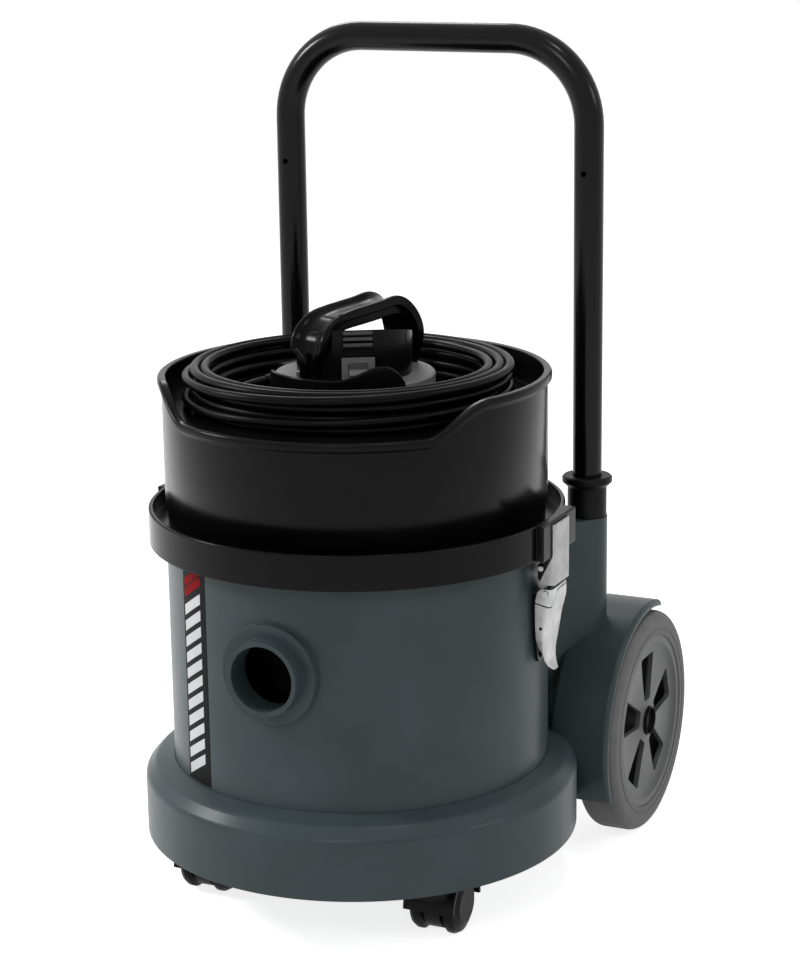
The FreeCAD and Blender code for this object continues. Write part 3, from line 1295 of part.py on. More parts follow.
def make_motor():
    case = turned("FanCaseBody", [
        ("intake_radius", "plate_top"), ("fan_case_radius", "plate_top"),
        ("fan_case_radius", "fan_case_top"), ("shaft_radius + bearing_gap", "fan_case_top"),
        ("shaft_radius + bearing_gap", "fan_case_top - fan_case_wall"),
        ("fan_case_radius - fan_case_wall", "fan_case_top - fan_case_wall"),
        ("fan_case_radius - fan_case_wall", "plate_top + fan_case_wall"),
        ("intake_radius", "plate_top + fan_case_wall")])
    subpart("fan_case", case)
    frame = turned("MotorFrame", [
        ("motor_radius - motor_wall", "fan_case_top"), ("motor_radius", "fan_case_top"),
        ("motor_radius", "motor_top"), ("shaft_radius + bearing_gap", "motor_top"),
        ("shaft_radius + bearing_gap", "motor_top - motor_wall"),
        ("motor_radius - motor_wall", "motor_top - motor_wall")])
    subpart("motor_frame", frame)
    middle = "fan_case_top + 0.5 * motor_height - 0.25 * motor_wall"
    rotor = turned("Rotor", [
        ("0", "plate_top + 3 * fan_case_wall"), ("shaft_radius", "plate_top + 3 * fan_case_wall"),
        ("shaft_radius", middle + " - 0.5 * rotor_height"),
        ("rotor_radius", middle + " - 0.5 * rotor_height"),
        ("rotor_radius", middle + " + 0.5 * rotor_height"),
        ("shaft_radius", middle + " + 0.5 * rotor_height"), ("shaft_radius", "motor_top + fan_case_wall"),
        ("0", "motor_top + fan_case_wall")])
    subpart("motor_rotor", rotor)
    low = "plate_top + 3 * fan_case_wall"
    impeller = turned("Impeller", [
        ("shaft_radius", low + " - fan_case_wall"), ("3 * shaft_radius", low + " - fan_case_wall"),
        ("3 * shaft_radius", low), ("impeller_radius", low),
        ("impeller_radius", low + " + 0.7 * impeller_height"),
        ("3 * shaft_radius", low + " + impeller_height"),
        ("shaft_radius", low + " + impeller_height")])
    subpart("fan_impeller", impeller)
    foam = turned("ExhaustFoam", [
        ("foam_inner", "plate_top"), ("foam_outer", "plate_top"),
        ("foam_outer", "plate_top + foam_height"), ("foam_inner", "plate_top + foam_height")])
    subpart("exhaust_foam", foam)


def make_intake_grille():
    """a disc with slots, seated in the base plate over the fan's eye"""
    body = turned("GrilleDisc", [
        ("0", "deck_top"), ("intake_radius", "deck_top"), ("intake_radius", "deck_top + grille_height"),
        ("0", "deck_top + grille_height")])
    slots = []
    for number in range(int(amount("grille_slots"))):
        slot = block(f"GrilleSlot{number}", "2 * grille_slot_reach", "grille_slot", "3 * grille_height")
        shift = amount("grille_pitch") * (number - (amount("grille_slots") - 1) / 2)
        slot.Placement.Base = FreeCAD.Vector(amount("-grille_slot_reach"),
                                             shift - amount("0.5 * grille_slot"),
                                             amount("deck_top - grille_height"))
        slots.append(slot)
    subpart("intake_grille", cut("IntakeGrille", body, slots))


def make_filter():
    subpart("filter_frame", turned("FilterFrame", [
        ("filter_top_radius", "filter_top"), ("filter_frame_outer", "filter_top"),
        ("filter_frame_outer", "deck_base"), ("filter_top_radius", "deck_base")]))
    top, bottom = "filter_top", "filter_top - filter_depth"
    subpart("main_filter", turned("MainFilter", [
        ("0", bottom), ("filter_bottom_radius - filter_cloth", bottom),
        ("filter_bottom_radius", bottom + " + filter_cloth"), ("filter_frame_outer - filter_cloth", top),
        ("filter_frame_outer - 2 * filter_cloth", top),
        ("filter_bottom_radius - filter_cloth", bottom + " + 2 * filter_cloth"),
        ("0", bottom + " + filter_cloth")]))


def check(item):
    """stop if an object could not be worked out"""
    if "Invalid" in item.State or "Error" in item.State:
        raise RuntimeError("failed: " + item.Name)


def main():
    rivet_holes = make_rivets()
    make_drum(rivet_holes)
    make_chassis()
    make_push_handle()
    make_handle_sockets()
    make_handle_screws()
    make_axle()
    make_wheels()
    make_castors()
    screw_holes, bosses = make_head_screws()
    make_ring(screw_holes)
    make_head(bosses, screw_holes)
    make_base_plate(screw_holes)
    make_clamps(rivet_holes)
    make_turret(make_carry_handle())
    make_coil()
    cord_tube("CableLead", "mains_cable_lead", lead_route, amount("cable_radius"))
    cord_tube("CableTail", "mains_cable_tail", tail_route, amount("cable_radius"))
    make_gland()
    make_plug()
    make_motor()
    make_intake_grille()
    make_filter()
    doc.recompute()
    for item in doc.Objects:
        check(item)
    for item in subparts:
        if item.Shape.isNull() or not item.Shape.isValid():
            raise RuntimeError("no valid shape: " + item.Label)
    os.makedirs("parts", exist_ok=True)
    for item in subparts:
        item.Shape.exportStep(f"parts/{item.Label}.step")
    print(len(subparts), "sub-parts written")


main()
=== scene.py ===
import bpy
import bmesh
import math
from mathutils import Matrix, Vector


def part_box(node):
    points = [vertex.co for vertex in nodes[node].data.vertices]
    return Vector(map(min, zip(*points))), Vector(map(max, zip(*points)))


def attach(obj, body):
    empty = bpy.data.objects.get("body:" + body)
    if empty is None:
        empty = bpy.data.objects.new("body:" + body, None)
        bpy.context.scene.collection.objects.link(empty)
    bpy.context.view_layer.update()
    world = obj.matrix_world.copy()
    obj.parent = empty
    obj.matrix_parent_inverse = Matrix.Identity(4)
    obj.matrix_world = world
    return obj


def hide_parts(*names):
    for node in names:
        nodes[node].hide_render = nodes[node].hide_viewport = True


# Tub vacuum cleaner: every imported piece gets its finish, and those with a finer form are drawn again here.
# Pieces are measured in millimetres, the camera and the lamps in metres, and angles in degrees.
# +Z is up, the hose inlet faces -Y and right is +X.
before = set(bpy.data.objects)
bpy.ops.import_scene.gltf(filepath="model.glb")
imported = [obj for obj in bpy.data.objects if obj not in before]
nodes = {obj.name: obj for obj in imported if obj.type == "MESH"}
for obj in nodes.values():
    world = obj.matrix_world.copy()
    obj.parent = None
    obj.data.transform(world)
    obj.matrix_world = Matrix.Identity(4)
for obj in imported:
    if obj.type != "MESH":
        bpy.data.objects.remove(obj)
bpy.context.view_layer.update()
mm = 0.001
sharpAngle = math.radians(32)  # folds steeper than this keep a hard edge on packed and cut pieces
mergeWithin = 0.002 * mm  # points closer than this become one
print("frame loaded with", len(nodes), "pieces")


def placed(name, data):
    # an object in the scene, at the origin
    made = bpy.data.objects.new(name, data)
    bpy.context.scene.collection.objects.link(made)
    return made


# Camera at the photograph's place
camera = {
    "place": (0.8814, -1.7879, 0.8608),
    "yaw": 25.202,
    "pitch": -14.365,
    "roll": -0.789,
    "lens": 91.1,
    "sensor": 36.0,
    "farthest": 50,
}


def setCamera(view):
    yaw, pitch, roll = (math.radians(view[name]) for name in ("yaw", "pitch", "roll"))
    forward = Vector((-math.sin(yaw) * math.cos(pitch), math.cos(yaw) * math.cos(pitch), math.sin(pitch)))
    level = Vector((math.cos(yaw), math.sin(yaw), 0))
    above = level.cross(forward)
    right = level * math.cos(roll) + above * math.sin(roll)
    up = above * math.cos(roll) - level * math.sin(roll)
    lens = bpy.data.cameras.new("camera")
    lens.lens = view["lens"]
    lens.sensor_width = view["sensor"]
    lens.clip_end = view["farthest"]
    holder = placed("camera", lens)
    turn = Matrix((right, up, -forward)).transposed().to_4x4()
    holder.matrix_world = Matrix.Translation(view["place"]) @ turn
    bpy.context.scene.camera = holder


setCamera(camera)
print("camera set")


# Small helpers for shaders
def linear(code):
    # sRGB hex to the linear values that the shaders take
    parts = [int(code[i:i + 2], 16) / 255 for i in (1, 3, 5)]
    return tuple(p / 12.92 if p <= 0.04045 else ((p + 0.055) / 1.055) ** 2.4 for p in parts) + (1.0,)


def addNode(tree, kind, sockets=None, **settings):
    made = tree.nodes.new(kind)
    for name, value in settings.items():
        setattr(made, name, value)
    for name, value in (sockets or {}).items():
        if isinstance(value, bpy.types.NodeSocket):
            tree.links.new(value, made.inputs[name])
        else:
            made.inputs[name].default_value = value
    return made


def newMaterial(name):
    material = bpy.data.materials.new(name)
    material.use_nodes = True
    material.node_tree.nodes.clear()
    return material, material.node_tree


def mouldedSurface(name, finish):
    # one recipe for moulded, coated and printed surfaces: fine grain, faint clouding and softened edges.
    # The grain is given in millimetres, several times coarser than the real one, so that it shows
    material, tree = newMaterial(name)
    place = addNode(tree, "ShaderNodeTexCoord").outputs["Object"]
    grain = addNode(tree, "ShaderNodeTexNoise", {
        "Vector": place, "Scale": 1 / (finish["grain"] * mm), "Detail": 3.0, "Roughness": 0.6})
    cloud = addNode(tree, "ShaderNodeTexNoise", {
        "Vector": place, "Scale": 1 / (finish["cloud"] * mm), "Detail": 4.0, "Roughness": 0.55})
    tone = addNode(tree, "ShaderNodeValToRGB", {"Fac": cloud.outputs["Fac"]})
    tone.color_ramp.elements[0].position = 0.35
    tone.color_ramp.elements[0].color = linear(finish["dark"])
    tone.color_ramp.elements[1].position = 0.68
    tone.color_ramp.elements[1].color = linear(finish["light"])
    sheen = addNode(tree, "ShaderNodeMapRange", {
        "Value": cloud.outputs["Fac"], "From Min": 0.3, "From Max": 0.7,
        "To Min": finish["roughness"] - finish["roughnessSpread"],
        "To Max": finish["roughness"] + finish["roughnessSpread"]})
    edge = addNode(tree, "ShaderNodeBevel", {"Radius": finish["edge"] * mm}, samples=6)
    relief = addNode(tree, "ShaderNodeBump", {
        "Height": grain.outputs["Fac"], "Normal": edge.outputs["Normal"],
        "Strength": finish["grainStrength"], "Distance": finish["grainDepth"] * mm})
    shader = addNode(tree, "ShaderNodeBsdfPrincipled", {
        "Base Color": tone.outputs["Color"], "Roughness": sheen.outputs["Result"],
        "Normal": relief.outputs["Normal"], "IOR": finish["ior"],
        "Specular IOR Level": finish["specular"]})
    addNode(tree, "ShaderNodeOutputMaterial", {"Surface": shader.outputs["BSDF"]})
    return material


# Polypropylene, injection moulded with a light spark-eroded texture: a satin surface with soft highlights
polypropyleneSlate = mouldedSurface("polypropylene_slate_grey", {
    "dark": "#3b4649", "light": "#444f53", "roughness": 0.34, "roughnessSpread": 0.04,
    "grain": 0.9, "grainDepth": 0.05, "grainStrength": 0.3, "cloud": 90, "edge": 1.2,
    "ior": 1.49, "specular": 0.17})

# ABS, polished mould: deep black with a clear highlight and a trace of flow marks
absGlossBlack = mouldedSurface("abs_gloss_black", {
    "dark": "#09090a", "light": "#0e0e0f", "roughness": 0.22, "roughnessSpread": 0.04,
    "grain": 2.4, "grainDepth": 0.02, "grainStrength": 0.15, "cloud": 70, "edge": 1.5,
    "ior": 1.5, "specular": 0.09})

# Glass-filled nylon, polished where hands hold it: black, with sharp bright edges
nylonGripBlack = mouldedSurface("nylon_grip_black", {
    "dark": "#040404", "light": "#070707", "roughness": 0.2, "roughnessSpread": 0.03,
    "grain": 3.0, "grainDepth": 0.02, "grainStrength": 0.12, "cloud": 60, "edge": 0.5,
    "ior": 1.5, "specular": 0.07})

# Polypropylene, fine matt texture: the black of the castors, the hubs, the plug and the inner housings
polypropyleneBlack = mouldedSurface("polypropylene_matt_black", {
    "dark": "#0b0b0b", "light": "#111111", "roughness": 0.42, "roughnessSpread": 0.05,
    "grain": 0.8, "grainDepth": 0.04, "grainStrength": 0.3, "cloud": 40, "edge": 0.5,
    "ior": 1.49, "specular": 0.1})

# ABS, matt texture, light grey: the turret's base, the switch panel and its rocker
absLightGrey = mouldedSurface("abs_light_grey", {
    "dark": "#6a6a6a", "light": "#767676", "roughness": 0.5, "roughnessSpread": 0.04,
    "grain": 0.7, "grainDepth": 0.03, "grainStrength": 0.25, "cloud": 30, "edge": 0.4,
    "ior": 1.52, "specular": 0.45})

# The same ABS in a darker grey: the fins between the louvres
absDimGrey = mouldedSurface("abs_dim_grey", {
    "dark": "#4c4c4c", "light": "#585858", "roughness": 0.5, "roughnessSpread": 0.04,
    "grain": 0.7, "grainDepth": 0.03, "grainStrength": 0.2, "cloud": 20, "edge": 0.3,
    "ior": 1.52, "specular": 0.3})

# Polypropylene, moulded, mid grey: the wheel discs, matt with a faintly clouded tone
polypropyleneMidGrey = mouldedSurface("polypropylene_mid_grey", {
    "dark": "#525353", "light": "#5e5f5f", "roughness": 0.5, "roughnessSpread": 0.06,
    "grain": 0.9, "grainDepth": 0.05, "grainStrength": 0.3, "cloud": 35, "edge": 0.7,
    "ior": 1.49, "specular": 0.4})

# Thermoplastic rubber, non-marking grey, moulded: dull, with a faintly uneven tone and sheen
rubberTyreGrey = mouldedSurface("rubber_tyre_grey", {
    "dark": "#6a6a6a", "light": "#7b7b7b", "roughness": 0.68, "roughnessSpread": 0.08,
    "grain": 1.1, "grainDepth": 0.08, "grainStrength": 0.45, "cloud": 22, "edge": 0.8,
    "ior": 1.5, "specular": 0.3})

# Nitrile rubber, extruded: the black seal between drum and head
rubberSealBlack = mouldedSurface("rubber_seal_black", {
    "dark": "#0e0e0e", "light": "#161616", "roughness": 0.7, "roughnessSpread": 0.05,
    "grain": 0.6, "grainDepth": 0.04, "grainStrength": 0.3, "cloud": 25, "edge": 0.3,
    "ior": 1.5, "specular": 0.3})

# Rubber cable sheath, extruded: black, low sheen, with a faint ripple
cableSheathBlack = mouldedSurface("rubber_cable_sheath", {
    "dark": "#040404", "light": "#070707", "roughness": 0.34, "roughnessSpread": 0.06,
    "grain": 1.6, "grainDepth": 0.05, "grainStrength": 0.25, "cloud": 30, "edge": 0.2,
    "ior": 1.5, "specular": 0.07})

# Steel, gloss black powder coat: smooth, with the coat's slight orange peel
powderCoatBlack = mouldedSurface("powder_coat_gloss_black", {
    "dark": "#070707", "light": "#0b0b0b", "roughness": 0.2, "roughnessSpread": 0.03,
    "grain": 2.0, "grainDepth": 0.03, "grainStrength": 0.2, "cloud": 80, "edge": 0.4,
    "ior": 1.5, "specular": 0.16})

# Needled polyester felt: charcoal, soft, fully rough
feltFilter = mouldedSurface("needled_polyester_felt", {
    "dark": "#232322", "light": "#2e2e2c", "roughness": 0.93, "roughnessSpread": 0.04,
    "grain": 0.9, "grainDepth": 0.5, "grainStrength": 0.8, "cloud": 18, "edge": 0.5,
    "ior": 1.45, "specular": 0.15})

# Vinyl film, printed and laminated: even colour and a dull sheen, for the strip on the drum
filmBlack = mouldedSurface("vinyl_film_black", {
    "dark": "#0c0d0e", "light": "#121314", "roughness": 0.5, "roughnessSpread": 0.03,
    "grain": 1.5, "grainDepth": 0.01, "grainStrength": 0.1, "cloud": 50, "edge": 0.1,
    "ior": 1.5, "specular": 0.06})
filmWhite = mouldedSurface("vinyl_film_white", {
    "dark": "#d6d8da", "light": "#e4e6e8", "roughness": 0.5, "roughnessSpread": 0.03,
    "grain": 1.5, "grainDepth": 0.01, "grainStrength": 0.1, "cloud": 50, "edge": 0.1,
    "ior": 1.5, "specular": 0.2})
filmRed = mouldedSurface("vinyl_film_red", {
    "dark": "#7e0d15", "light": "#8c141c", "roughness": 0.6, "roughnessSpread": 0.03,
    "grain": 1.5, "grainDepth": 0.01, "grainStrength": 0.1, "cloud": 50, "edge": 0.1,
    "ior": 1.5, "specular": 0.05})


# What the rolling lines or the casting skin do to bare metal's gloss and relief
metalSkin = {"smoother": 0.06, "rougher": 0.08, "strength": 0.25, "depth": 0.02}


def drawnMetal(name, finish):
    # rolled or die-cast metal with patchy brightness. Its lines are coarser than real ones, so that they show
    material, tree = newMaterial(name)
    place = addNode(tree, "ShaderNodeTexCoord").outputs["Object"]
    along = addNode(tree, "ShaderNodeMapping", {"Vector": place, "Scale": finish["stretch"]})
    lines = addNode(tree, "ShaderNodeTexNoise", {
        "Vector": along.outputs["Vector"], "Scale": 1 / (finish["line"] * mm), "Detail": 4.0})
    patch = addNode(tree, "ShaderNodeTexNoise", {
        "Vector": place, "Scale": 1 / (finish["patch"] * mm), "Detail": 3.0})
    tone = addNode(tree, "ShaderNodeValToRGB", {"Fac": patch.outputs["Fac"]})
    tone.color_ramp.elements[0].position = 0.3
    tone.color_ramp.elements[0].color = linear(finish["dark"])
    tone.color_ramp.elements[1].position = 0.7
    tone.color_ramp.elements[1].color = linear(finish["light"])
    sheen = addNode(tree, "ShaderNodeMapRange", {
        "Value": lines.outputs["Fac"], "From Min": 0.3, "From Max": 0.7,
        "To Min": finish["roughness"] - metalSkin["smoother"],
        "To Max": finish["roughness"] + metalSkin["rougher"]})
    edge = addNode(tree, "ShaderNodeBevel", {"Radius": finish["edge"] * mm}, samples=6)
    relief = addNode(tree, "ShaderNodeBump", {
        "Height": lines.outputs["Fac"], "Normal": edge.outputs["Normal"],
        "Strength": metalSkin["strength"], "Distance": metalSkin["depth"] * mm})
    shader = addNode(tree, "ShaderNodeBsdfPrincipled", {
        "Base Color": tone.outputs["Color"], "Roughness": sheen.outputs["Result"],
        "Normal": relief.outputs["Normal"], "Metallic": 1.0})
    addNode(tree, "ShaderNodeOutputMaterial", {"Surface": shader.outputs["BSDF"]})
    return material


# Mild steel, pressed and bright zinc plated: bright, with rolling lines along its length
zincPlatedSteel = drawnMetal("zinc_plated_steel", {
    "dark": "#9fa0a0", "light": "#b9b9b8", "roughness": 0.34, "line": 0.8, "patch": 12, "edge": 0.4,
    "stretch": (1.0, 1.0, 0.12)})

# The same steel, painted darker on the hooked straps: painted shade, for the dimmer light that falls on and
# off them
zincSteelShaded = drawnMetal("zinc_plated_steel_painted_shade", {
    "dark": "#868787", "light": "#9c9c9b", "roughness": 0.38, "line": 0.8, "patch": 12, "edge": 0.4,
    "stretch": (1.0, 1.0, 0.12)})

# Aluminium, die cast: the motor's frame, dull silver
castAluminium = drawnMetal("die_cast_aluminium", {
    "dark": "#9c9c9e", "light": "#b4b4b6", "roughness": 0.42, "line": 0.9, "patch": 15, "edge": 0.5,
    "stretch": (1.0, 1.0, 1.0)})
print("materials made")


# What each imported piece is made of
finishes = {
    polypropyleneSlate: ["drum", "chassis", "inlet_lining"],
    absGlossBlack: ["head_shell", "lid_ring", "turret_cowl"],
    nylonGripBlack: ["carry_handle"],
    polypropyleneBlack: [
        "filter_frame", "head_base_plate", "mains_plug", "fan_case", "intake_grille",
        "cable_gland", "left_handle_socket", "right_handle_socket", "left_castor_hood",
        "right_castor_hood", "left_castor_wheels", "right_castor_wheels"],
    absLightGrey: ["switch_panel", "switch_rocker", "turret_base"],
    polypropyleneMidGrey: ["left_wheel_disc", "right_wheel_disc", "left_hub_cap", "right_hub_cap"],
    rubberTyreGrey: ["left_tyre", "right_tyre"],
    rubberSealBlack: ["lid_seal"],
    # the clamp brackets and rivets are black here as painted shade, dark where they stand in the shadow
    # beside the levers
    powderCoatBlack: ["push_handle", "left_clamp_bracket", "right_clamp_bracket", "clamp_rivets"],
    zincPlatedSteel: [
        "left_clamp_lever", "right_clamp_lever", "left_clamp_hook", "right_clamp_hook", "clamp_pins",
        "handle_screws", "head_screws", "carry_handle_screws", "rear_axle", "left_castor_axle",
        "right_castor_axle", "left_castor_plate", "right_castor_plate"],
    castAluminium: ["motor_frame", "motor_rotor", "fan_impeller"],
    feltFilter: ["main_filter", "exhaust_foam"],
    cableSheathBlack: ["mains_cable_coil", "mains_cable_lead", "mains_cable_tail"],
}
for material, names in finishes.items():
    for name in names:
        nodes[name].data.materials.clear()
        nodes[name].data.materials.append(material)
        nodes[name].data.shade_smooth()
        nodes[name].data.set_sharp_from_angle(angle=sharpAngle)
print("packed pieces dressed")


# Mains cable: one cord from the gland, round the coil in the well and on to the plug
cable = {
    "radius": 3.9,
    "coilStart": 111.5,
    "runIn": 6.0,
    "runInTurn": 60.0,
    "pitch": 8.4,
    "layerPitch": 8.8,
    "startBearing": 235.0,
    "centre": (-3.5, -2.0),
    "height": 427.4,
    "layers": 4,
    "turnsPerLayer": 3,
    "lastTurnShort": 175.0,
    "climb": 180.0,
    "pointsPerTurn": 30,
    "realLength": 9.2,
    # from the coil's upper end to the gland
    "leadRoute": [
        (44.26, 96.27, 453.8), (29.8, 103.2, 453.8), (11.5, 103.6, 454.2), (-5.4, 97.0, 454.8),
        (-18.8, 85.0, 455.4), (-25.8, 70.6, 456.0), (-27.75, 56.7, 456.0)],
    # from the coil's lower end to the plug
    "tailRoute": [
        (-70.02, -83.44, 427.4), (-82.3, -73.2, 427.4), (-90.4, -56.9, 428.0), (-93.4, -35.1, 431.0),
        (-91.0, -17.1, 433.5), (-85.16, 1.97, 433.5)],
}
# the degrees that one layer takes, and the whole coil
layerTurn = 360.0 * cable["turnsPerLayer"]
lastTurn = layerTurn * cable["layers"] - cable["lastTurnShort"]


def coilPoint(turn):
    # spirals out and in again, layer on layer, with a climb in each half turn where it reverses
    phase = turn % (2 * layerTurn)
    outwards = min(phase, 2 * layerTurn - phase)
    radius = cable["coilStart"] + cable["pitch"] * outwards / 360.0
    fromEnd = min(turn, lastTurn - turn)
    if fromEnd < cable["runInTurn"]:
        radius -= cable["runIn"] * (1 - fromEnd / cable["runInTurn"]) ** 2
    height = cable["height"]
    for layer in range(1, cable["layers"]):
        climbed = (turn - layerTurn * layer + cable["climb"] / 2) / cable["climb"]
        height += cable["layerPitch"] * min(max(climbed, 0.0), 1.0)
    bearing = math.radians(cable["startBearing"] + turn)
    return (cable["centre"][0] + radius * math.cos(bearing),
            cable["centre"][1] + radius * math.sin(bearing), height)


def makeCable():
    leadRoute = cable["leadRoute"]
    count = int(lastTurn / 360.0 * cable["pointsPerTurn"])
    coil = [coilPoint(lastTurn * (1 - i / count)) for i in range(count + 1)]
    points = leadRoute[::-1] + coil + cable["tailRoute"]
    curve = bpy.data.curves.new("mains_cable", "CURVE")
    curve.dimensions = "3D"
    spline = curve.splines.new("NURBS")
    spline.points.add(len(points) - 1)
    for point, (x, y, z) in zip(spline.points, points):
        point.co = (x * mm, y * mm, z * mm, 1.0)
    spline.order_u = 3
    spline.use_endpoint_u = True
    spline.resolution_u = 3
    curve.bevel_depth = cable["radius"] * mm
    curve.bevel_resolution = 4
    curve.use_fill_caps = True
    curve.materials.append(cableSheathBlack)
    cord = placed("mains_cable", curve)
    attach(cord, "head")
    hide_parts("mains_cable_coil", "mains_cable_lead", "mains_cable_tail")


makeCable()
print("mains cable wound")


# Closed skins over rows of points, in millimetres
def skin(name, rows, material, ring=False, sheet=False, sharp=40):
    # each row is a closed loop; the rows close on themselves in a ring, or are capped at both ends.
    # A sheet's loop runs along one face and back along the other, so its ends are closed by strips
    mesh = bpy.data.meshes.new(name)
    shape = bmesh.new()
    laid = [[shape.verts.new(tuple(v * mm for v in point)) for point in row] for row in rows]
    for here, there in zip(laid, laid[1:] + (laid[:1] if ring else [])):
        for i in range(len(here)):
            j = (i + 1) % len(here)
            shape.faces.new((here[i], there[i], there[j], here[j]))
    if sheet:
        for end, order in ((laid[0], 1), (laid[-1], -1)):
            for i in range(len(end) // 2 - 1):
                shape.faces.new((end[i], end[i + 1], end[-2 - i], end[-1 - i])[::order])
    elif not ring:
        shape.faces.new(laid[0])
        shape.faces.new(laid[-1][::-1])
    bmesh.ops.remove_doubles(shape, verts=shape.verts, dist=mergeWithin)
    bmesh.ops.recalc_face_normals(shape, faces=shape.faces)
    shape.to_mesh(mesh)
    shape.free()
    mesh.shade_smooth()
    mesh.set_sharp_from_angle(angle=math.radians(sharp))
    mesh.materials.append(material)
    return placed(name, mesh)


def turnedMesh(name, profile, material, steps=160):
    # profile is a closed loop of (radius, height), turned about Z
    rows = []
    for step in range(steps):
        angle = 2 * math.pi * step / steps
        rows.append([(r * math.cos(angle), r * math.sin(angle), h) for r, h in profile])
    return skin(name, rows, material, ring=True)


def roundedCorner(corner, start, end, radius, steps=6):
    # points of an arc that takes the corner off, from the start side to the end side
    corner, start, end = Vector(corner), Vector(start), Vector(end)
    first = (start - corner).normalized()
    second = (end - corner).normalized()
    half = first.angle(second) / 2
    leg = radius / math.tan(half)
    centre = corner + (first + second).normalized() * (radius / math.sin(half))
    a, b = corner + first * leg - centre, corner + second * leg - centre
    total = a.angle(b)
    points = []
    for step in range(steps + 1):
        part = step / steps
        points.append(centre + (a * math.sin((1 - part) * total) + b * math.sin(part * total))
                      / math.sin(total))
    return [tuple(p) for p in points]


def roundedLoop(corners):
    # a closed profile from (radius, height, rounding) corners
    loop = []
    for i, (r, h, rounding) in enumerate(corners):
        if rounding:
            loop += roundedCorner((r, h), corners[i - 1][:2], corners[(i + 1) % len(corners)][:2], rounding)
        else:
            loop.append((r, h))
    return loop


# Tyres: rounded shoulders and a shallow groove round each sidewall
tyre = {
    "radius": 100.0,
    "bore": 78.05,
    "width": 38.4,
    "shoulder": 9.0,
    "edge": 0.8,
    "grooveRadii": (82.5, 83.2, 84.4, 85.1),
    "grooveDepth": 0.8,
    "grooveEdge": 0.3,
}


def makeTyres():
    low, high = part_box("right_tyre")
    centre = (low + high) / 2
    half = tyre["width"] / 2
    bottom = half - tyre["grooveDepth"]
    starts, falls, rises, ends = tyre["grooveRadii"]
    corners = []
    for side in (-1, 1):
        wall = [
            (tyre["bore"], half * side, tyre["edge"]), (starts, half * side, tyre["edge"]),
            (falls, bottom * side, tyre["grooveEdge"]), (rises, bottom * side, tyre["grooveEdge"]),
            (ends, half * side, tyre["edge"]), (tyre["radius"], half * side, tyre["shoulder"])]
        corners += wall if side < 0 else wall[::-1]
    profile = roundedLoop(corners)
    for side, name in ((1, "right"), (-1, "left")):
        piece = turnedMesh(name + "_rubber_tyre", profile, rubberTyreGrey)
        turn = Matrix.Rotation(math.pi / 2, 4, "Y")
        piece.data.transform(Matrix.Translation((side * centre.x, centre.y, centre.z)) @ turn)
        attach(piece, name + "_wheel")
        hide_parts(name + "_tyre")


makeTyres()
print("tyres turned")


# Smooth line through given stations
def smoothed(stations, parts=6):
    # Catmull-Rom between stations, each a tuple of numbers that are all eased alike
    points = []
    for i in range(len(stations) - 1):
        four = [Vector(stations[min(max(i + k, 0), len(stations) - 1)]) for k in (-1, 0, 1, 2)]
        for step in range(parts):
            t = step / parts
            points.append(0.5 * (2 * four[1] + (four[2] - four[0]) * t
                                 + (2 * four[0] - 5 * four[1] + 4 * four[2] - four[3]) * t * t
                                 + (3 * four[1] - four[0] - 3 * four[2] + four[3]) * t ** 3))
    return points + [Vector(stations[-1])]


def inMillimetres(corner):
    return [v / mm for v in corner]


# Head shell: a lathe form whose rim dips at the front, with a rounded lip all the way round
head = {
    "radius": 160.0,
    "wall": 3.5,
    "inset": 2.0,
    "corner": 2.0,
    "lip": 3.4,
    "lipHeight": 7.5,
    "lipSlope": 1.5,
    "lipRoot": 4.0,
    "rimDepth": 1.4,
    # rounding under the lip, at its edge, over its crest and at the rim's inner corner
    "rounding": (1.2, 1.5, 2.6, 1.0),
    "dipHalfBottom": 101.0,
    "dipHalfTop": 140.0,
    "dipDepth": 25.0,
    "dipTurn": 6.5,
    "columns": 360,
}


def rimHeight(azimuth, top):
    # azimuth is counted from the middle of the dip
    across = abs(head["radius"] * math.sin(azimuth))
    if math.cos(azimuth) < 0 or across > head["dipHalfTop"]:
        return top
    part = (across - head["dipHalfBottom"]) / (head["dipHalfTop"] - head["dipHalfBottom"])
    part = max(part, 0.0)
    return top - head["dipDepth"] * (1 - part * part * (3 - 2 * part))


def makeHeadShell():
    low, high = (inMillimetres(corner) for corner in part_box("head_shell"))
    foot = inMillimetres(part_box("lid_ring")[1])[2]
    floor = inMillimetres(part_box("turret_base")[0])[2]
    outer, inner, inset, corner = head["radius"], head["radius"] - head["wall"], head["inset"], head["corner"]
    proud, drop, slope = outer + head["lip"], head["lipHeight"], head["lipSlope"]
    under, edge, crest, inside = head["rounding"]
    # heights here count from the rim itself, and the last corner only steers the first one's rounding
    rim = roundedLoop([
        (outer, -drop - slope, under), (proud, -drop + slope, edge), (proud, 0, crest),
        (inner, 0, inside), (inner, -head["rimDepth"], 0), (outer, -drop - head["lipRoot"], 0)])[:-1]
    ceiling = floor - head["wall"]
    base = [(0, floor), (0, ceiling), (inner - corner, ceiling), (inner, ceiling - corner),
            (inner, foot + inset), (inner - inset, foot), (inner - inset, low[2]),
            (outer - inset, low[2]), (outer - inset, foot), (outer, foot + inset)]
    rows = []
    for column in range(head["columns"]):
        azimuth = 2 * math.pi * column / head["columns"]
        height = rimHeight(azimuth, high[2])
        loop = [(r, height + rise) for r, rise in rim] + [(inner, floor)] + base
        turn = azimuth + math.radians(head["dipTurn"])
        rows.append([(r * math.sin(turn), -r * math.cos(turn), z) for r, z in loop])
    shell = skin("head_casing", rows, absGlossBlack, ring=True, sharp=50)
    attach(shell, "head")
    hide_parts("head_shell")


makeHeadShell()
print("head shell turned")


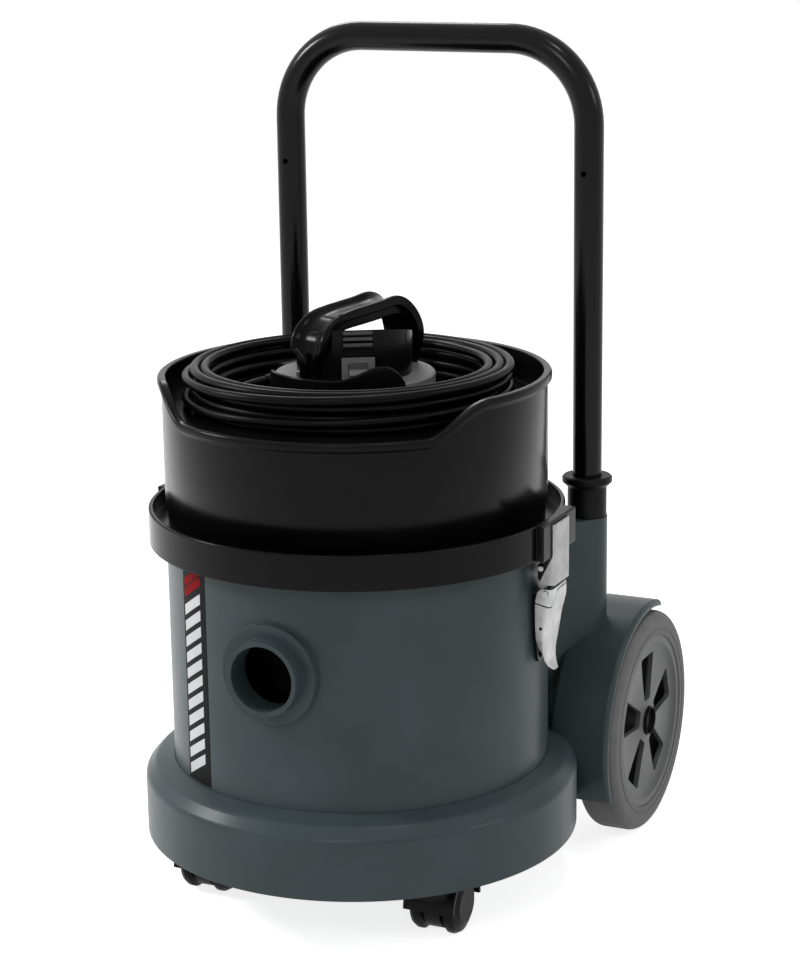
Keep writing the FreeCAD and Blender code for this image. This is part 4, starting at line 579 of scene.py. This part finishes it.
# Carry handle: a broad band whose outer face is dished between two rolled rims
carryHandle = {
    "turn": 72.0,
    "dish": 4.6,
    "dishSteps": 14,
    "dishPower": 4,
    "corner": 1.5,
    "cornerShare": 0.8,
    "rim": 3.6,
    # along the turned line, height over the turret, half thickness, half width
    "line": [
        (-53.0, 0.0, 3.4, 8.0), (-53.0, 9.0, 3.4, 8.5), (-53.2, 16.0, 3.6, 9.5),
        (-53.2, 21.0, 3.9, 14.0), (-52.8, 26.0, 4.0, 17.6), (-50.6, 34.5, 4.0, 18.2),
        (-43.8, 42.6, 4.0, 18.2), (-32.8, 48.7, 4.0, 18.2), (-17.5, 51.5, 4.0, 18.0),
        (0.0, 53.0, 4.0, 18.0), (16.0, 54.3, 4.0, 18.0), (29.5, 56.0, 4.1, 18.0),
        (38.0, 55.4, 4.2, 18.0), (46.0, 51.4, 4.2, 18.4), (52.8, 44.4, 4.2, 19.4),
        (57.4, 36.0, 4.2, 20.4), (60.0, 27.0, 4.2, 20.4), (60.2, 18.0, 4.0, 19.0),
        (59.0, 8.0, 3.8, 17.0), (58.0, 0.0, 3.6, 15.0)],
    # the finger pad under the band, measured in the same way
    "pad": [
        (-43.5, 36.5, 1.5, 11.0), (-40.0, 39.0, 3.2, 12.6), (-32.0, 41.8, 4.2, 13.0),
        (-17.5, 44.0, 4.4, 13.0), (0.0, 45.2, 4.4, 13.0), (16.0, 46.4, 4.4, 13.0),
        (29.5, 47.8, 4.4, 13.0), (37.0, 47.6, 4.2, 13.0), (43.0, 44.8, 3.2, 12.6),
        (46.5, 41.0, 1.5, 11.0)],
}


def bandSection(thick, wide, dish):
    # closed loop of (outwards, across) for a band with rounded corners, its outer face dished between rims
    corner = min(carryHandle["corner"], carryHandle["cornerShare"] * thick)
    loop = roundedLoop([(thick, -wide, corner), (thick, wide, corner), (-thick, wide, corner),
                        (-thick, -wide, corner)])
    steps = carryHandle["dishSteps"]
    reach = wide - carryHandle["rim"]
    dished = []
    for step in range(1, steps):
        across = -reach + 2 * reach * step / steps
        sunk = dish * (1 - abs(across / reach) ** carryHandle["dishPower"])
        dished.append((thick - sunk, across))
    quarter = len(loop) // 4
    return loop[:quarter] + [(thick, -reach)] + dished + [(thick, reach)] + loop[quarter:]


def sweptBand(name, stations, dish, material):
    base = inMillimetres(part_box("turret_base")[1])[2]
    line = smoothed(stations)
    turn = math.radians(carryHandle["turn"])
    along = Vector((math.cos(turn), math.sin(turn), 0))
    across = Vector((-math.sin(turn), math.cos(turn), 0))
    rows = []
    for i, (x, z, thick, wide) in enumerate(line):
        before, after = line[max(i - 1, 0)], line[min(i + 1, len(line) - 1)]
        heading = Vector((after[0] - before[0], after[1] - before[1])).normalized()
        # outwards is to the left of the heading, which runs up, over and down again
        outwards = along * -heading[1] + Vector((0, 0, heading[0]))
        middle = along * x + Vector((0, 0, base + z))
        rows.append([middle + outwards * out + across * side for out, side in bandSection(thick, wide, dish)])
    return skin(name, rows, material, sharp=50)


def makeCarryHandle():
    band = sweptBand("carry_grip", carryHandle["line"], carryHandle["dish"], nylonGripBlack)
    pad = sweptBand("finger_pad", carryHandle["pad"], 0.0, polypropyleneBlack)
    for piece in (band, pad):
        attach(piece, "head")
    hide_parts("carry_handle")


makeCarryHandle()
print("carry handle drawn")


# Geometry Nodes, made plain meshes when they are done
def nodeTree(name, inputs):
    tree = bpy.data.node_groups.new(name, "GeometryNodeTree")
    for label, kind, value in inputs:
        socket = tree.interface.new_socket(label, in_out="INPUT", socket_type=kind)
        socket.default_value = value
    tree.interface.new_socket("Geometry", in_out="OUTPUT", socket_type="NodeSocketGeometry")
    return tree, addNode(tree, "NodeGroupInput").outputs


def grown(name, tree):
    # the mesh that a tree makes, kept as a plain mesh
    seed = placed(name + "_seed", bpy.data.meshes.new(name + "_seed"))
    modifier = seed.modifiers.new(name, "NODES")
    modifier.node_group = tree
    settled = seed.evaluated_get(bpy.context.evaluated_depsgraph_get())
    mesh = bpy.data.meshes.new_from_object(settled)
    mesh.name = name
    bpy.data.objects.remove(seed)
    return placed(name, mesh)


# Strip on the drum: a black film with a ladder of slanted white bars below a small red patch
strip = {
    "radius": 160.0,
    "middle": -30.6,
    "film": 0.15,
    "columns": 14,
    # plates laid one above the other: how many, their pitch, the height of the first one's middle, and each
    # one's height, width, shift to the side, rise across its width and lift off the drum
    "plates": {
        "strip_film": {
            "material": filmBlack, "count": 1, "pitch": 184.5, "first": 214.75, "height": 184.5,
            "width": 34.5, "shift": 0.0, "slant": 0.0, "lift": 0.1},
        "strip_bars": {
            "material": filmWhite, "count": 11, "pitch": 13.7, "first": 139.5, "height": 8.8,
            "width": 25.0, "shift": -2.0, "slant": 0.6, "lift": 0.25},
        "strip_patch": {
            "material": filmRed, "count": 2, "pitch": 9.0, "first": 291.0, "height": 7.6,
            "width": 26.0, "shift": -1.5, "slant": 0.6, "lift": 0.25},
    },
}


def makePlateTree(name, plate):
    # plates one above the other, bent round the drum and given the film's thickness
    tree, given = nodeTree(name, [
        ("Count", "NodeSocketInt", plate["count"]), ("Pitch", "NodeSocketFloat", plate["pitch"] * mm),
        ("First height", "NodeSocketFloat", plate["first"] * mm),
        ("Plate height", "NodeSocketFloat", plate["height"] * mm),
        ("Plate width", "NodeSocketFloat", plate["width"] * mm),
        ("Shift", "NodeSocketFloat", plate["shift"] * mm), ("Slant", "NodeSocketFloat", plate["slant"]),
        ("Radius", "NodeSocketFloat", (strip["radius"] + plate["lift"]) * mm),
        ("Middle", "NodeSocketFloat", math.radians(strip["middle"])),
        ("Film", "NodeSocketFloat", strip["film"] * mm)])

    def sums(kind, first, second):
        return addNode(tree, "ShaderNodeMath", {0: first, 1: second}, operation=kind).outputs[0]
    flatPlate = addNode(tree, "GeometryNodeMeshGrid", {
        "Size X": given["Plate width"], "Size Y": given["Plate height"],
        "Vertices X": strip["columns"], "Vertices Y": 2})
    step = addNode(tree, "ShaderNodeCombineXYZ", {"Y": given["Pitch"]})
    start = addNode(tree, "ShaderNodeCombineXYZ", {"X": given["Shift"], "Y": given["First height"]})
    ladder = addNode(tree, "GeometryNodeMeshLine", {
        "Count": given["Count"], "Start Location": start.outputs[0], "Offset": step.outputs[0]})
    laid = addNode(tree, "GeometryNodeInstanceOnPoints", {
        "Points": ladder.outputs[0], "Instance": flatPlate.outputs[0]})
    real = addNode(tree, "GeometryNodeRealizeInstances", {"Geometry": laid.outputs[0]})
    skinTop = addNode(tree, "GeometryNodeExtrudeMesh", {
        "Mesh": real.outputs[0], "Offset": (0.0, 0.0, 1.0), "Offset Scale": given["Film"],
        "Individual": False})
    skinBack = addNode(tree, "GeometryNodeFlipFaces", {"Mesh": real.outputs[0]})
    joined = addNode(tree, "GeometryNodeJoinGeometry")
    for part in (skinBack, skinTop):
        tree.links.new(part.outputs[0], joined.inputs[0])
    closed = addNode(tree, "GeometryNodeMergeByDistance", {
        "Geometry": joined.outputs[0], "Distance": 0.01 * mm})
    flat = addNode(tree, "ShaderNodeSeparateXYZ", {
        "Vector": addNode(tree, "GeometryNodeInputPosition").outputs[0]}).outputs
    lean = sums("MULTIPLY", flat["X"], given["Slant"])
    radius = sums("ADD", given["Radius"], flat["Z"])
    angle = sums("ADD", given["Middle"], sums("DIVIDE", flat["X"], given["Radius"]))
    place = addNode(tree, "ShaderNodeCombineXYZ", {
        "X": sums("MULTIPLY", radius, sums("SINE", angle, 0.0)),
        "Y": sums("MULTIPLY", sums("MULTIPLY", radius, sums("COSINE", angle, 0.0)), -1.0),
        "Z": sums("ADD", flat["Y"], lean)})
    bent = addNode(tree, "GeometryNodeSetPosition", {
        "Geometry": closed.outputs[0], "Position": place.outputs[0]})
    dressed = addNode(tree, "GeometryNodeSetMaterial", {
        "Geometry": bent.outputs[0], "Material": plate["material"]})
    addNode(tree, "NodeGroupOutput", {"Geometry": dressed.outputs[0]})
    return tree


def makeStrip():
    for name, plate in strip["plates"].items():
        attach(grown(name, makePlateTree(name, plate)), "tub")


makeStrip()
print("strip laid on the drum")


# Turret: light fins between the louvres, and a black guard round the front of its base
turret = {
    "facet": 44.0,  # from the turret's axis to the cowl's flat face
    "turn": 30.0,  # of that face, away from the front
    "fins": 3,
    "finPitch": 4.9,
    "firstFin": 30.4,
    "finWidth": 23.8,
    "finHeight": 2.5,
    "finDepth": 0.8,
    "guardInside": 67.3,
    "guardOutside": 69.8,
    "guardFoot": 1.0,
    "guardEdge": 1.1,
    # azimuth from the front and height over the base
    "guard": [
        (-74.0, 0.0), (-62.0, 2.2), (-50.0, 4.4), (-30.0, 5.6), (0.0, 5.6), (16.0, 6.2), (26.0, 10.0),
        (38.0, 15.6), (47.0, 16.6), (55.0, 12.0), (62.0, 2.0)],
}


def makeFinTree():
    # fins are laid one above the other on the flat face of the cowl
    tree, given = nodeTree("turret_fins", [
        ("Count", "NodeSocketInt", turret["fins"]), ("Pitch", "NodeSocketFloat", turret["finPitch"] * mm),
        ("Size", "NodeSocketVector", (turret["finWidth"] * mm, 2 * turret["finDepth"] * mm,
                                      turret["finHeight"] * mm)),
        ("Start", "NodeSocketVector", (0.0, -turret["facet"] * mm, 0.0)),
        ("Turn", "NodeSocketVector", (0.0, 0.0, math.radians(turret["turn"])))])
    fin = addNode(tree, "GeometryNodeMeshCube", {"Size": given["Size"]})
    step = addNode(tree, "ShaderNodeCombineXYZ", {"Z": given["Pitch"]})
    stack = addNode(tree, "GeometryNodeMeshLine", {
        "Count": given["Count"], "Start Location": given["Start"], "Offset": step.outputs[0]})
    laid = addNode(tree, "GeometryNodeInstanceOnPoints", {
        "Points": stack.outputs[0], "Instance": fin.outputs[0]})
    real = addNode(tree, "GeometryNodeRealizeInstances", {"Geometry": laid.outputs[0]})
    turned = addNode(tree, "GeometryNodeTransform", {"Geometry": real.outputs[0], "Rotation": given["Turn"]})
    dressed = addNode(tree, "GeometryNodeSetMaterial", {
        "Geometry": turned.outputs[0], "Material": absDimGrey})
    addNode(tree, "NodeGroupOutput", {"Geometry": dressed.outputs[0]})
    return tree


def makeTurret():
    base, top = (inMillimetres(corner)[2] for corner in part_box("turret_base"))
    fins = grown("turret_fins", makeFinTree())
    fins.data.transform(Matrix.Translation((0, 0, (top + turret["firstFin"]) * mm)))
    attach(fins, "head")
    inside, outside, edge = turret["guardInside"], turret["guardOutside"], turret["guardEdge"]
    foot = base + turret["guardFoot"]
    rows = []
    for azimuth, height in smoothed(turret["guard"]):
        angle = math.radians(azimuth)
        section = roundedLoop([(inside, foot, 0), (outside, foot, 0),
                               (outside, top + height, edge), (inside, top + height, edge)])
        rows.append([(r * math.sin(angle), -r * math.cos(angle), z) for r, z in section])
    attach(skin("turret_guard", rows, absGlossBlack), "head")


makeTurret()
print("turret fitted")


# Toggle clamps: pressed channels. Each row says the height, how far out the web and the flanges' edges
# stand, and where the channel starts and ends along Y
clamp = {
    "sheet": 1.7,
    "bend": 2.2,
    "slack": 0.1,
    "shallow": 3.0,
    "steps": {"flange": 3, "bend": 4, "web": 12},
    "rows": 48,
    "gap": 0.5,
    "edges": (-7.0, 27.0),
    "lever": [
        (281.2, 178.3, 169.5, -7.0, 27.0), (278.5, 178.5, 165.6, -7.0, 27.0),
        (270.5, 178.4, 163.6, -7.0, 27.0), (263.5, 176.8, 163.4, -7.0, 27.0),
        (256.0, 174.8, 163.4, -6.8, 27.0), (246.0, 173.4, 163.4, -6.3, 26.4),
        (236.0, 172.0, 163.8, -5.4, 25.6), (229.0, 171.0, 165.6, -3.8, 24.8),
        (223.0, 170.4, 168.4, -2.0, 24.0), (217.0, 170.6, 168.8, 0.4, 22.8),
        (212.0, 172.4, 170.5, 3.4, 20.8), (208.4, 175.2, 173.2, 7.6, 17.2)],
    "strap": [
        (336.3, 180.6, 178.8, -7.0, 27.0), (320.0, 180.6, 178.8, -7.0, 27.0),
        (309.5, 180.6, 178.8, -7.0, 27.0), (305.0, 180.6, 176.6, -7.0, 27.0),
        (300.0, 180.6, 174.0, -7.0, 27.0), (294.0, 180.6, 170.9, -7.0, 27.0),
        (288.0, 180.6, 168.0, -7.0, 27.0), (285.0, 180.4, 166.6, -7.0, 27.0)],
    # where the cover ends on the lever: along the bent sheet from the near edge, and height. The way along
    # the sheet is measured on one section with this web and edge
    "sample": (178.0, 164.0),
    "seam": [
        (0.0, 268.6), (11.0, 266.0), (15.5, 266.4), (19.5, 272.0), (24.0, 278.0), (30.0, 279.2),
        (64.0, 279.2)],
    # planes that trim the bracket's foot: a point in Y and Z and the way off
    "bracketFoot": [(10.0, 214.5, 0.0, -1.0), (4.0, 216.5, -0.8, -0.6), (16.0, 216.5, 0.8, -0.6),
                    (2.0, 219.5, -0.97, -0.25), (18.0, 219.5, 0.97, -0.25)],
    # link plates inside the strap's flanges: outline in X and Z, and where each one lies along Y
    "link": [(165.2, 289.0), (168.6, 286.2), (178.6, 286.2), (178.6, 303.0), (167.0, 303.0), (165.2, 301.0)],
    "linkSides": [(-5.0, -3.8), (23.8, 25.0)],
    "tongue": [(174.8, 332.7), (178.7, 332.7), (178.7, 334.4), (174.8, 334.4)],
    # pins that lie along Y: place in X and Z, and a profile of (radius, Y)
    "linkPin": {
        "place": (168.6, 298.6),
        "profile": [(0, -8.2), (2.1, -8.2), (2.6, -7.6), (2.6, 27.6), (2.1, 28.2), (0, 28.2)]},
    "springPin": {
        "place": (168.4, 247.0), "profile": [(0, -7.2), (1.2, -7.2), (1.2, -5.6), (0, -5.6)]},
}


def between(table, key):
    # straight line between the two rows of a table that the key falls between
    table = sorted(table)
    key = min(max(key, table[0][0]), table[-1][0])
    for low, high in zip(table, table[1:]):
        if key <= high[0]:
            part = (key - low[0]) / (high[0] - low[0])
            return [a + (b - a) * part for a, b in zip(low[1:], high[1:])]


def channelSection(web, edge, near, far):
    # outer face of the channel from the near flange's edge to the far one's, then back along the inside
    sheet, steps = clamp["sheet"], clamp["steps"]
    deep = max(web - edge, sheet + clamp["slack"])
    bend = min(clamp["bend"], deep - clamp["slack"] / 2)
    flat = deep - clamp["bend"] if deep > clamp["shallow"] else 0.0

    def face(inset, radius):
        side, out = near + inset, web - inset
        points = [(web - deep + flat * i / steps["flange"], side) for i in range(steps["flange"])]
        for i in range(steps["bend"] + 1):
            turn = math.pi / 2 * i / steps["bend"]
            points.append((out - radius + radius * math.sin(turn), side + radius - radius * math.cos(turn)))
        return points
    whole = []
    for inset, radius in ((0.0, bend), (sheet, max(bend - sheet, clamp["slack"]))):
        first = face(inset, radius)
        mirror = [(x, near + far - y) for x, y in first[::-1]]
        low, high = first[-1][1], mirror[0][1]
        webLine = [(first[-1][0], low + (high - low) * i / steps["web"]) for i in range(1, steps["web"])]
        whole.append(first + webLine + mirror)
    return whole[0] + whole[1][::-1]


def channelPiece(name, profile, top, bottom, material, side):
    # a sheet between two edges that are given along the developed section
    count = len(top)
    rows = []
    for step in range(clamp["rows"] + 1):
        part = step / clamp["rows"]
        row = []
        for i in range(2 * count):
            column = i if i < count else 2 * count - 1 - i
            z = top[column] + (bottom[column] - top[column]) * part
            x, y = channelSection(*between(profile, z))[i]
            row.append((side * x, y, z))
        rows.append(row)
    return skin(name, rows, material, sheet=True, sharp=45)


def developed(outside):
    # distance along the bent sheet of each point on the section's outer face
    along = [0.0]
    for first, second in zip(outside, outside[1:]):
        along.append(along[-1] + math.dist(first, second))
    return along


def crossPin(name, pin, material, side, steps):
    # turned, then laid along Y at its place
    x, z = pin["place"]
    piece = turnedMesh(name, pin["profile"], material, steps=steps)
    place = Matrix.Translation((side * x * mm, 0, z * mm))
    piece.data.transform(place @ Matrix.Rotation(-math.pi / 2, 4, "X"))
    return piece


def trimmedCopy(node, planes):
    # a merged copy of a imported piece, cut by planes of (point, outward direction) in millimetres
    mesh = nodes[node].data.copy()
    shape = bmesh.new()
    shape.from_mesh(mesh)
    bmesh.ops.remove_doubles(shape, verts=shape.verts, dist=mergeWithin)
    for point, away in planes:
        cut = bmesh.ops.bisect_plane(shape, geom=shape.verts[:] + shape.edges[:] + shape.faces[:],
                                     plane_co=Vector(point) * mm, plane_no=away, clear_outer=True)
        rim = [part for part in cut["geom_cut"] if isinstance(part, bmesh.types.BMEdge)]
        bmesh.ops.holes_fill(shape, edges=rim)
    bmesh.ops.recalc_face_normals(shape, faces=shape.faces)
    shape.to_mesh(mesh)
    shape.free()
    mesh.shade_smooth()
    mesh.set_sharp_from_angle(angle=sharpAngle)
    return placed(node + "_trimmed", mesh)


def makeClamps():
    section = channelSection(*clamp["sample"], *clamp["edges"])
    outside = section[:len(section) // 2]
    seam = [between(clamp["seam"], along)[0] for along in developed(outside)]
    lever, strap = clamp["lever"], clamp["strap"]

    def level(row):
        # a straight edge at the height of a row
        return [row[0]] * len(outside)
    for side, word in ((1, "right"), (-1, "left")):
        cover = channelPiece(word + "_lever_cover", lever, level(lever[0]),
                             [z + clamp["gap"] for z in seam], zincPlatedSteel, side)
        grip = channelPiece(word + "_lever_grip", lever, [z - clamp["gap"] for z in seam],
                            level(lever[-1]), zincPlatedSteel, side)
        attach(cover, word + "_clamp")
        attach(grip, word + "_clamp")
        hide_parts(word + "_clamp_lever")
        # the strap band and its tongue take the darker copy of the steel: painted shade
        band = channelPiece(word + "_strap_band", strap, level(strap[0]), level(strap[-1]),
                            zincSteelShaded, side)
        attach(band, "head")
        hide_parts(word + "_clamp_hook")
        tongue = skin(word + "_strap_tongue", [[(side * x, y, z) for x, z in clamp["tongue"]]
                                               for y in clamp["edges"]], zincSteelShaded)
        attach(tongue, "head")
        for number, ends in enumerate(clamp["linkSides"]):
            rows = [[(side * x, y, z) for x, z in clamp["link"]] for y in ends]
            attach(skin(f"{word}_strap_link_{number}", rows, powderCoatBlack), "head")
        bar = crossPin(word + "_strap_pin", clamp["linkPin"], zincPlatedSteel, side, steps=32)
        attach(bar, "head")
        foot = [((0, y, z), (0, dy, dz)) for y, z, dy, dz in clamp["bracketFoot"]]
        # the trimmed bracket keeps its black coat: painted shade beside the lever
        bracket = trimmedCopy(word + "_clamp_bracket", foot)
        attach(bracket, "tub")
        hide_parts(word + "_clamp_bracket")
        pin = crossPin(word + "_spring_pin", clamp["springPin"], polypropyleneBlack, side, steps=24)
        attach(pin, word + "_clamp")


makeClamps()
print("clamps pressed")


# Wheel discs: turned, then five rounded windows are cut through the web
wheel = {
    "windows": 5,
    "firstWindow": 180.0,
    "windowIn": 19.5,
    "windowOut": 61.0,
    "narrow": 7.2,
    "wide": 16.4,
    "corner": 3.0,
    "cutHeights": (7.0, 22.0),
    "web": [
        (12.9, -17.2), (12.9, 15.4), (13.8, 15.8), (19.0, 14.6), (40.0, 14.2), (66.0, 14.2), (69.5, 15.6),
        (71.5, 18.0), (77.9, 18.0), (77.9, -19.0), (74.5, -19.0), (74.5, 9.5), (18.0, 9.5), (18.0, -17.2)],
    # a black disc behind the web: painted shade, dark through the windows where the cavity behind would be in
    # shade
    "back": [(12.9, -18.9), (74.5, -18.9), (74.5, -17.0), (12.9, -17.0)],
    "hub": [(0, 8.0), (12.6, 8.0), (12.6, 18.2), (12.2, 18.6), (11.6, 18.2), (11.2, 14.5), (0, 14.5)],
}


def makeWheels():
    low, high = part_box("right_tyre")
    centre = (low + high) / 2
    start, end, corner = wheel["windowIn"], wheel["windowOut"], wheel["corner"]
    outline = roundedLoop([
        (start, -wheel["narrow"], corner), (end, -wheel["wide"], corner),
        (end, wheel["wide"], corner), (start, wheel["narrow"], corner)])
    for side, word in ((1, "right"), (-1, "left")):
        turn = Matrix.Rotation(side * math.pi / 2, 4, "Y")
        place = Matrix.Translation((side * centre.x, centre.y, centre.z)) @ turn
        disc = turnedMesh(word + "_disc", wheel["web"], polypropyleneMidGrey)
        cutters = []
        for number in range(wheel["windows"]):
            angle = math.radians(wheel["firstWindow"] + 360 * number / wheel["windows"])
            rows = [[(r * math.cos(angle) - w * math.sin(angle), r * math.sin(angle) + w * math.cos(angle), h)
                     for r, w in outline] for h in wheel["cutHeights"]]
            cutter = skin(f"window_{number}", rows, polypropyleneMidGrey)
            cut = disc.modifiers.new("window", "BOOLEAN")
            cut.operation = "DIFFERENCE"
            cut.object = cutter
            cutters.append(cutter)
        settled = disc.evaluated_get(bpy.context.evaluated_depsgraph_get())
        mesh = bpy.data.meshes.new_from_object(settled)
        disc.modifiers.clear()
        disc.data = mesh
        for cutter in cutters:
            bpy.data.objects.remove(cutter)
        mesh.set_sharp_from_angle(angle=sharpAngle)
        # the black backing disc is painted shade seen through the windows
        back = turnedMesh(word + "_disc_painted_shade", wheel["back"], polypropyleneBlack)
        hub = turnedMesh(word + "_hub", wheel["hub"], polypropyleneBlack, steps=64)
        for piece in (disc, back, hub):
            piece.data.transform(place)
            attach(piece, word + "_wheel")
        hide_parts(word + "_wheel_disc")
        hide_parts(word + "_hub_cap")


makeWheels()
print("wheels turned and windowed")


# Studio: a white floor that keeps the shadow, soft lamps and a white surround
studio = {
    "floor": "#f0f0f0",
    "floorReach": 30.0,
    "floorGlow": 0.8,
    "surround": 0.3,
    "aim": (0, 0, 0.35),
    "lamps": {
        "key": {"place": (-2.4, -0.9, 1.8), "size": 0.7, "power": 44},
        "fill": {"place": (0.6, -2.9, 2.4), "size": 0.9, "power": 15},
        "side": {"place": (2.6, 0.3, 1.6), "size": 0.7, "power": 9},
        "back": {"place": (-1.3, 2.0, 2.1), "size": 0.9, "power": 11},
        "top": {"place": (0.75, -0.5, 2.6), "size": 0.25, "power": 6},
    },
}


def seenDirectly(tree):
    # 1 for rays from the camera or off metal and through glass, 0 for the light that falls on things
    path = addNode(tree, "ShaderNodeLightPath").outputs
    total = path["Is Camera Ray"]
    for kind in ("Is Glossy Ray", "Is Transmission Ray"):
        total = addNode(tree, "ShaderNodeMath", {0: total, 1: path[kind]}, operation="MAXIMUM").outputs[0]
    return total


def setStudio():
    mesh = bpy.data.meshes.new("floor")
    reach = studio["floorReach"]
    mesh.from_pydata([(-reach, -reach, 0), (reach, -reach, 0), (reach, reach, 0), (-reach, reach, 0)], [],
                     [(0, 1, 2, 3)])
    floor = placed("floor", mesh)
    material, tree = newMaterial("white_floor")
    paint = addNode(tree, "ShaderNodeBsdfDiffuse", {"Color": linear(studio["floor"])})
    glow = addNode(tree, "ShaderNodeMath", {0: seenDirectly(tree), 1: studio["floorGlow"]},
                   operation="MULTIPLY")
    light = addNode(tree, "ShaderNodeEmission", {"Strength": glow.outputs[0]})
    both = addNode(tree, "ShaderNodeAddShader", {0: paint.outputs["BSDF"], 1: light.outputs["Emission"]})
    addNode(tree, "ShaderNodeOutputMaterial", {"Surface": both.outputs["Shader"]})
    mesh.materials.append(material)
    world = bpy.data.worlds.new("surround")
    bpy.context.scene.world = world
    world.use_nodes = True
    world.node_tree.nodes.clear()
    strength = addNode(world.node_tree, "ShaderNodeMapRange", {
        "Value": seenDirectly(world.node_tree), "To Min": studio["surround"], "To Max": 1.0})
    sky = addNode(world.node_tree, "ShaderNodeBackground", {
        "Color": (1.0, 1.0, 1.0, 1.0), "Strength": strength.outputs["Result"]})
    addNode(world.node_tree, "ShaderNodeOutputWorld", {"Surface": sky.outputs["Background"]})
    for name, lamp in studio["lamps"].items():
        data = bpy.data.lights.new(name, "AREA")
        data.shape = "DISK"
        data.size = lamp["size"]
        data.energy = lamp["power"]
        holder = placed(name, data)
        holder.location = lamp["place"]
        aim = Vector(studio["aim"]) - Vector(lamp["place"])
        holder.rotation_euler = aim.to_track_quat("-Z", "Y").to_euler()
    bpy.context.scene.view_settings.view_transform = "Standard"


setStudio()
print("studio lit")
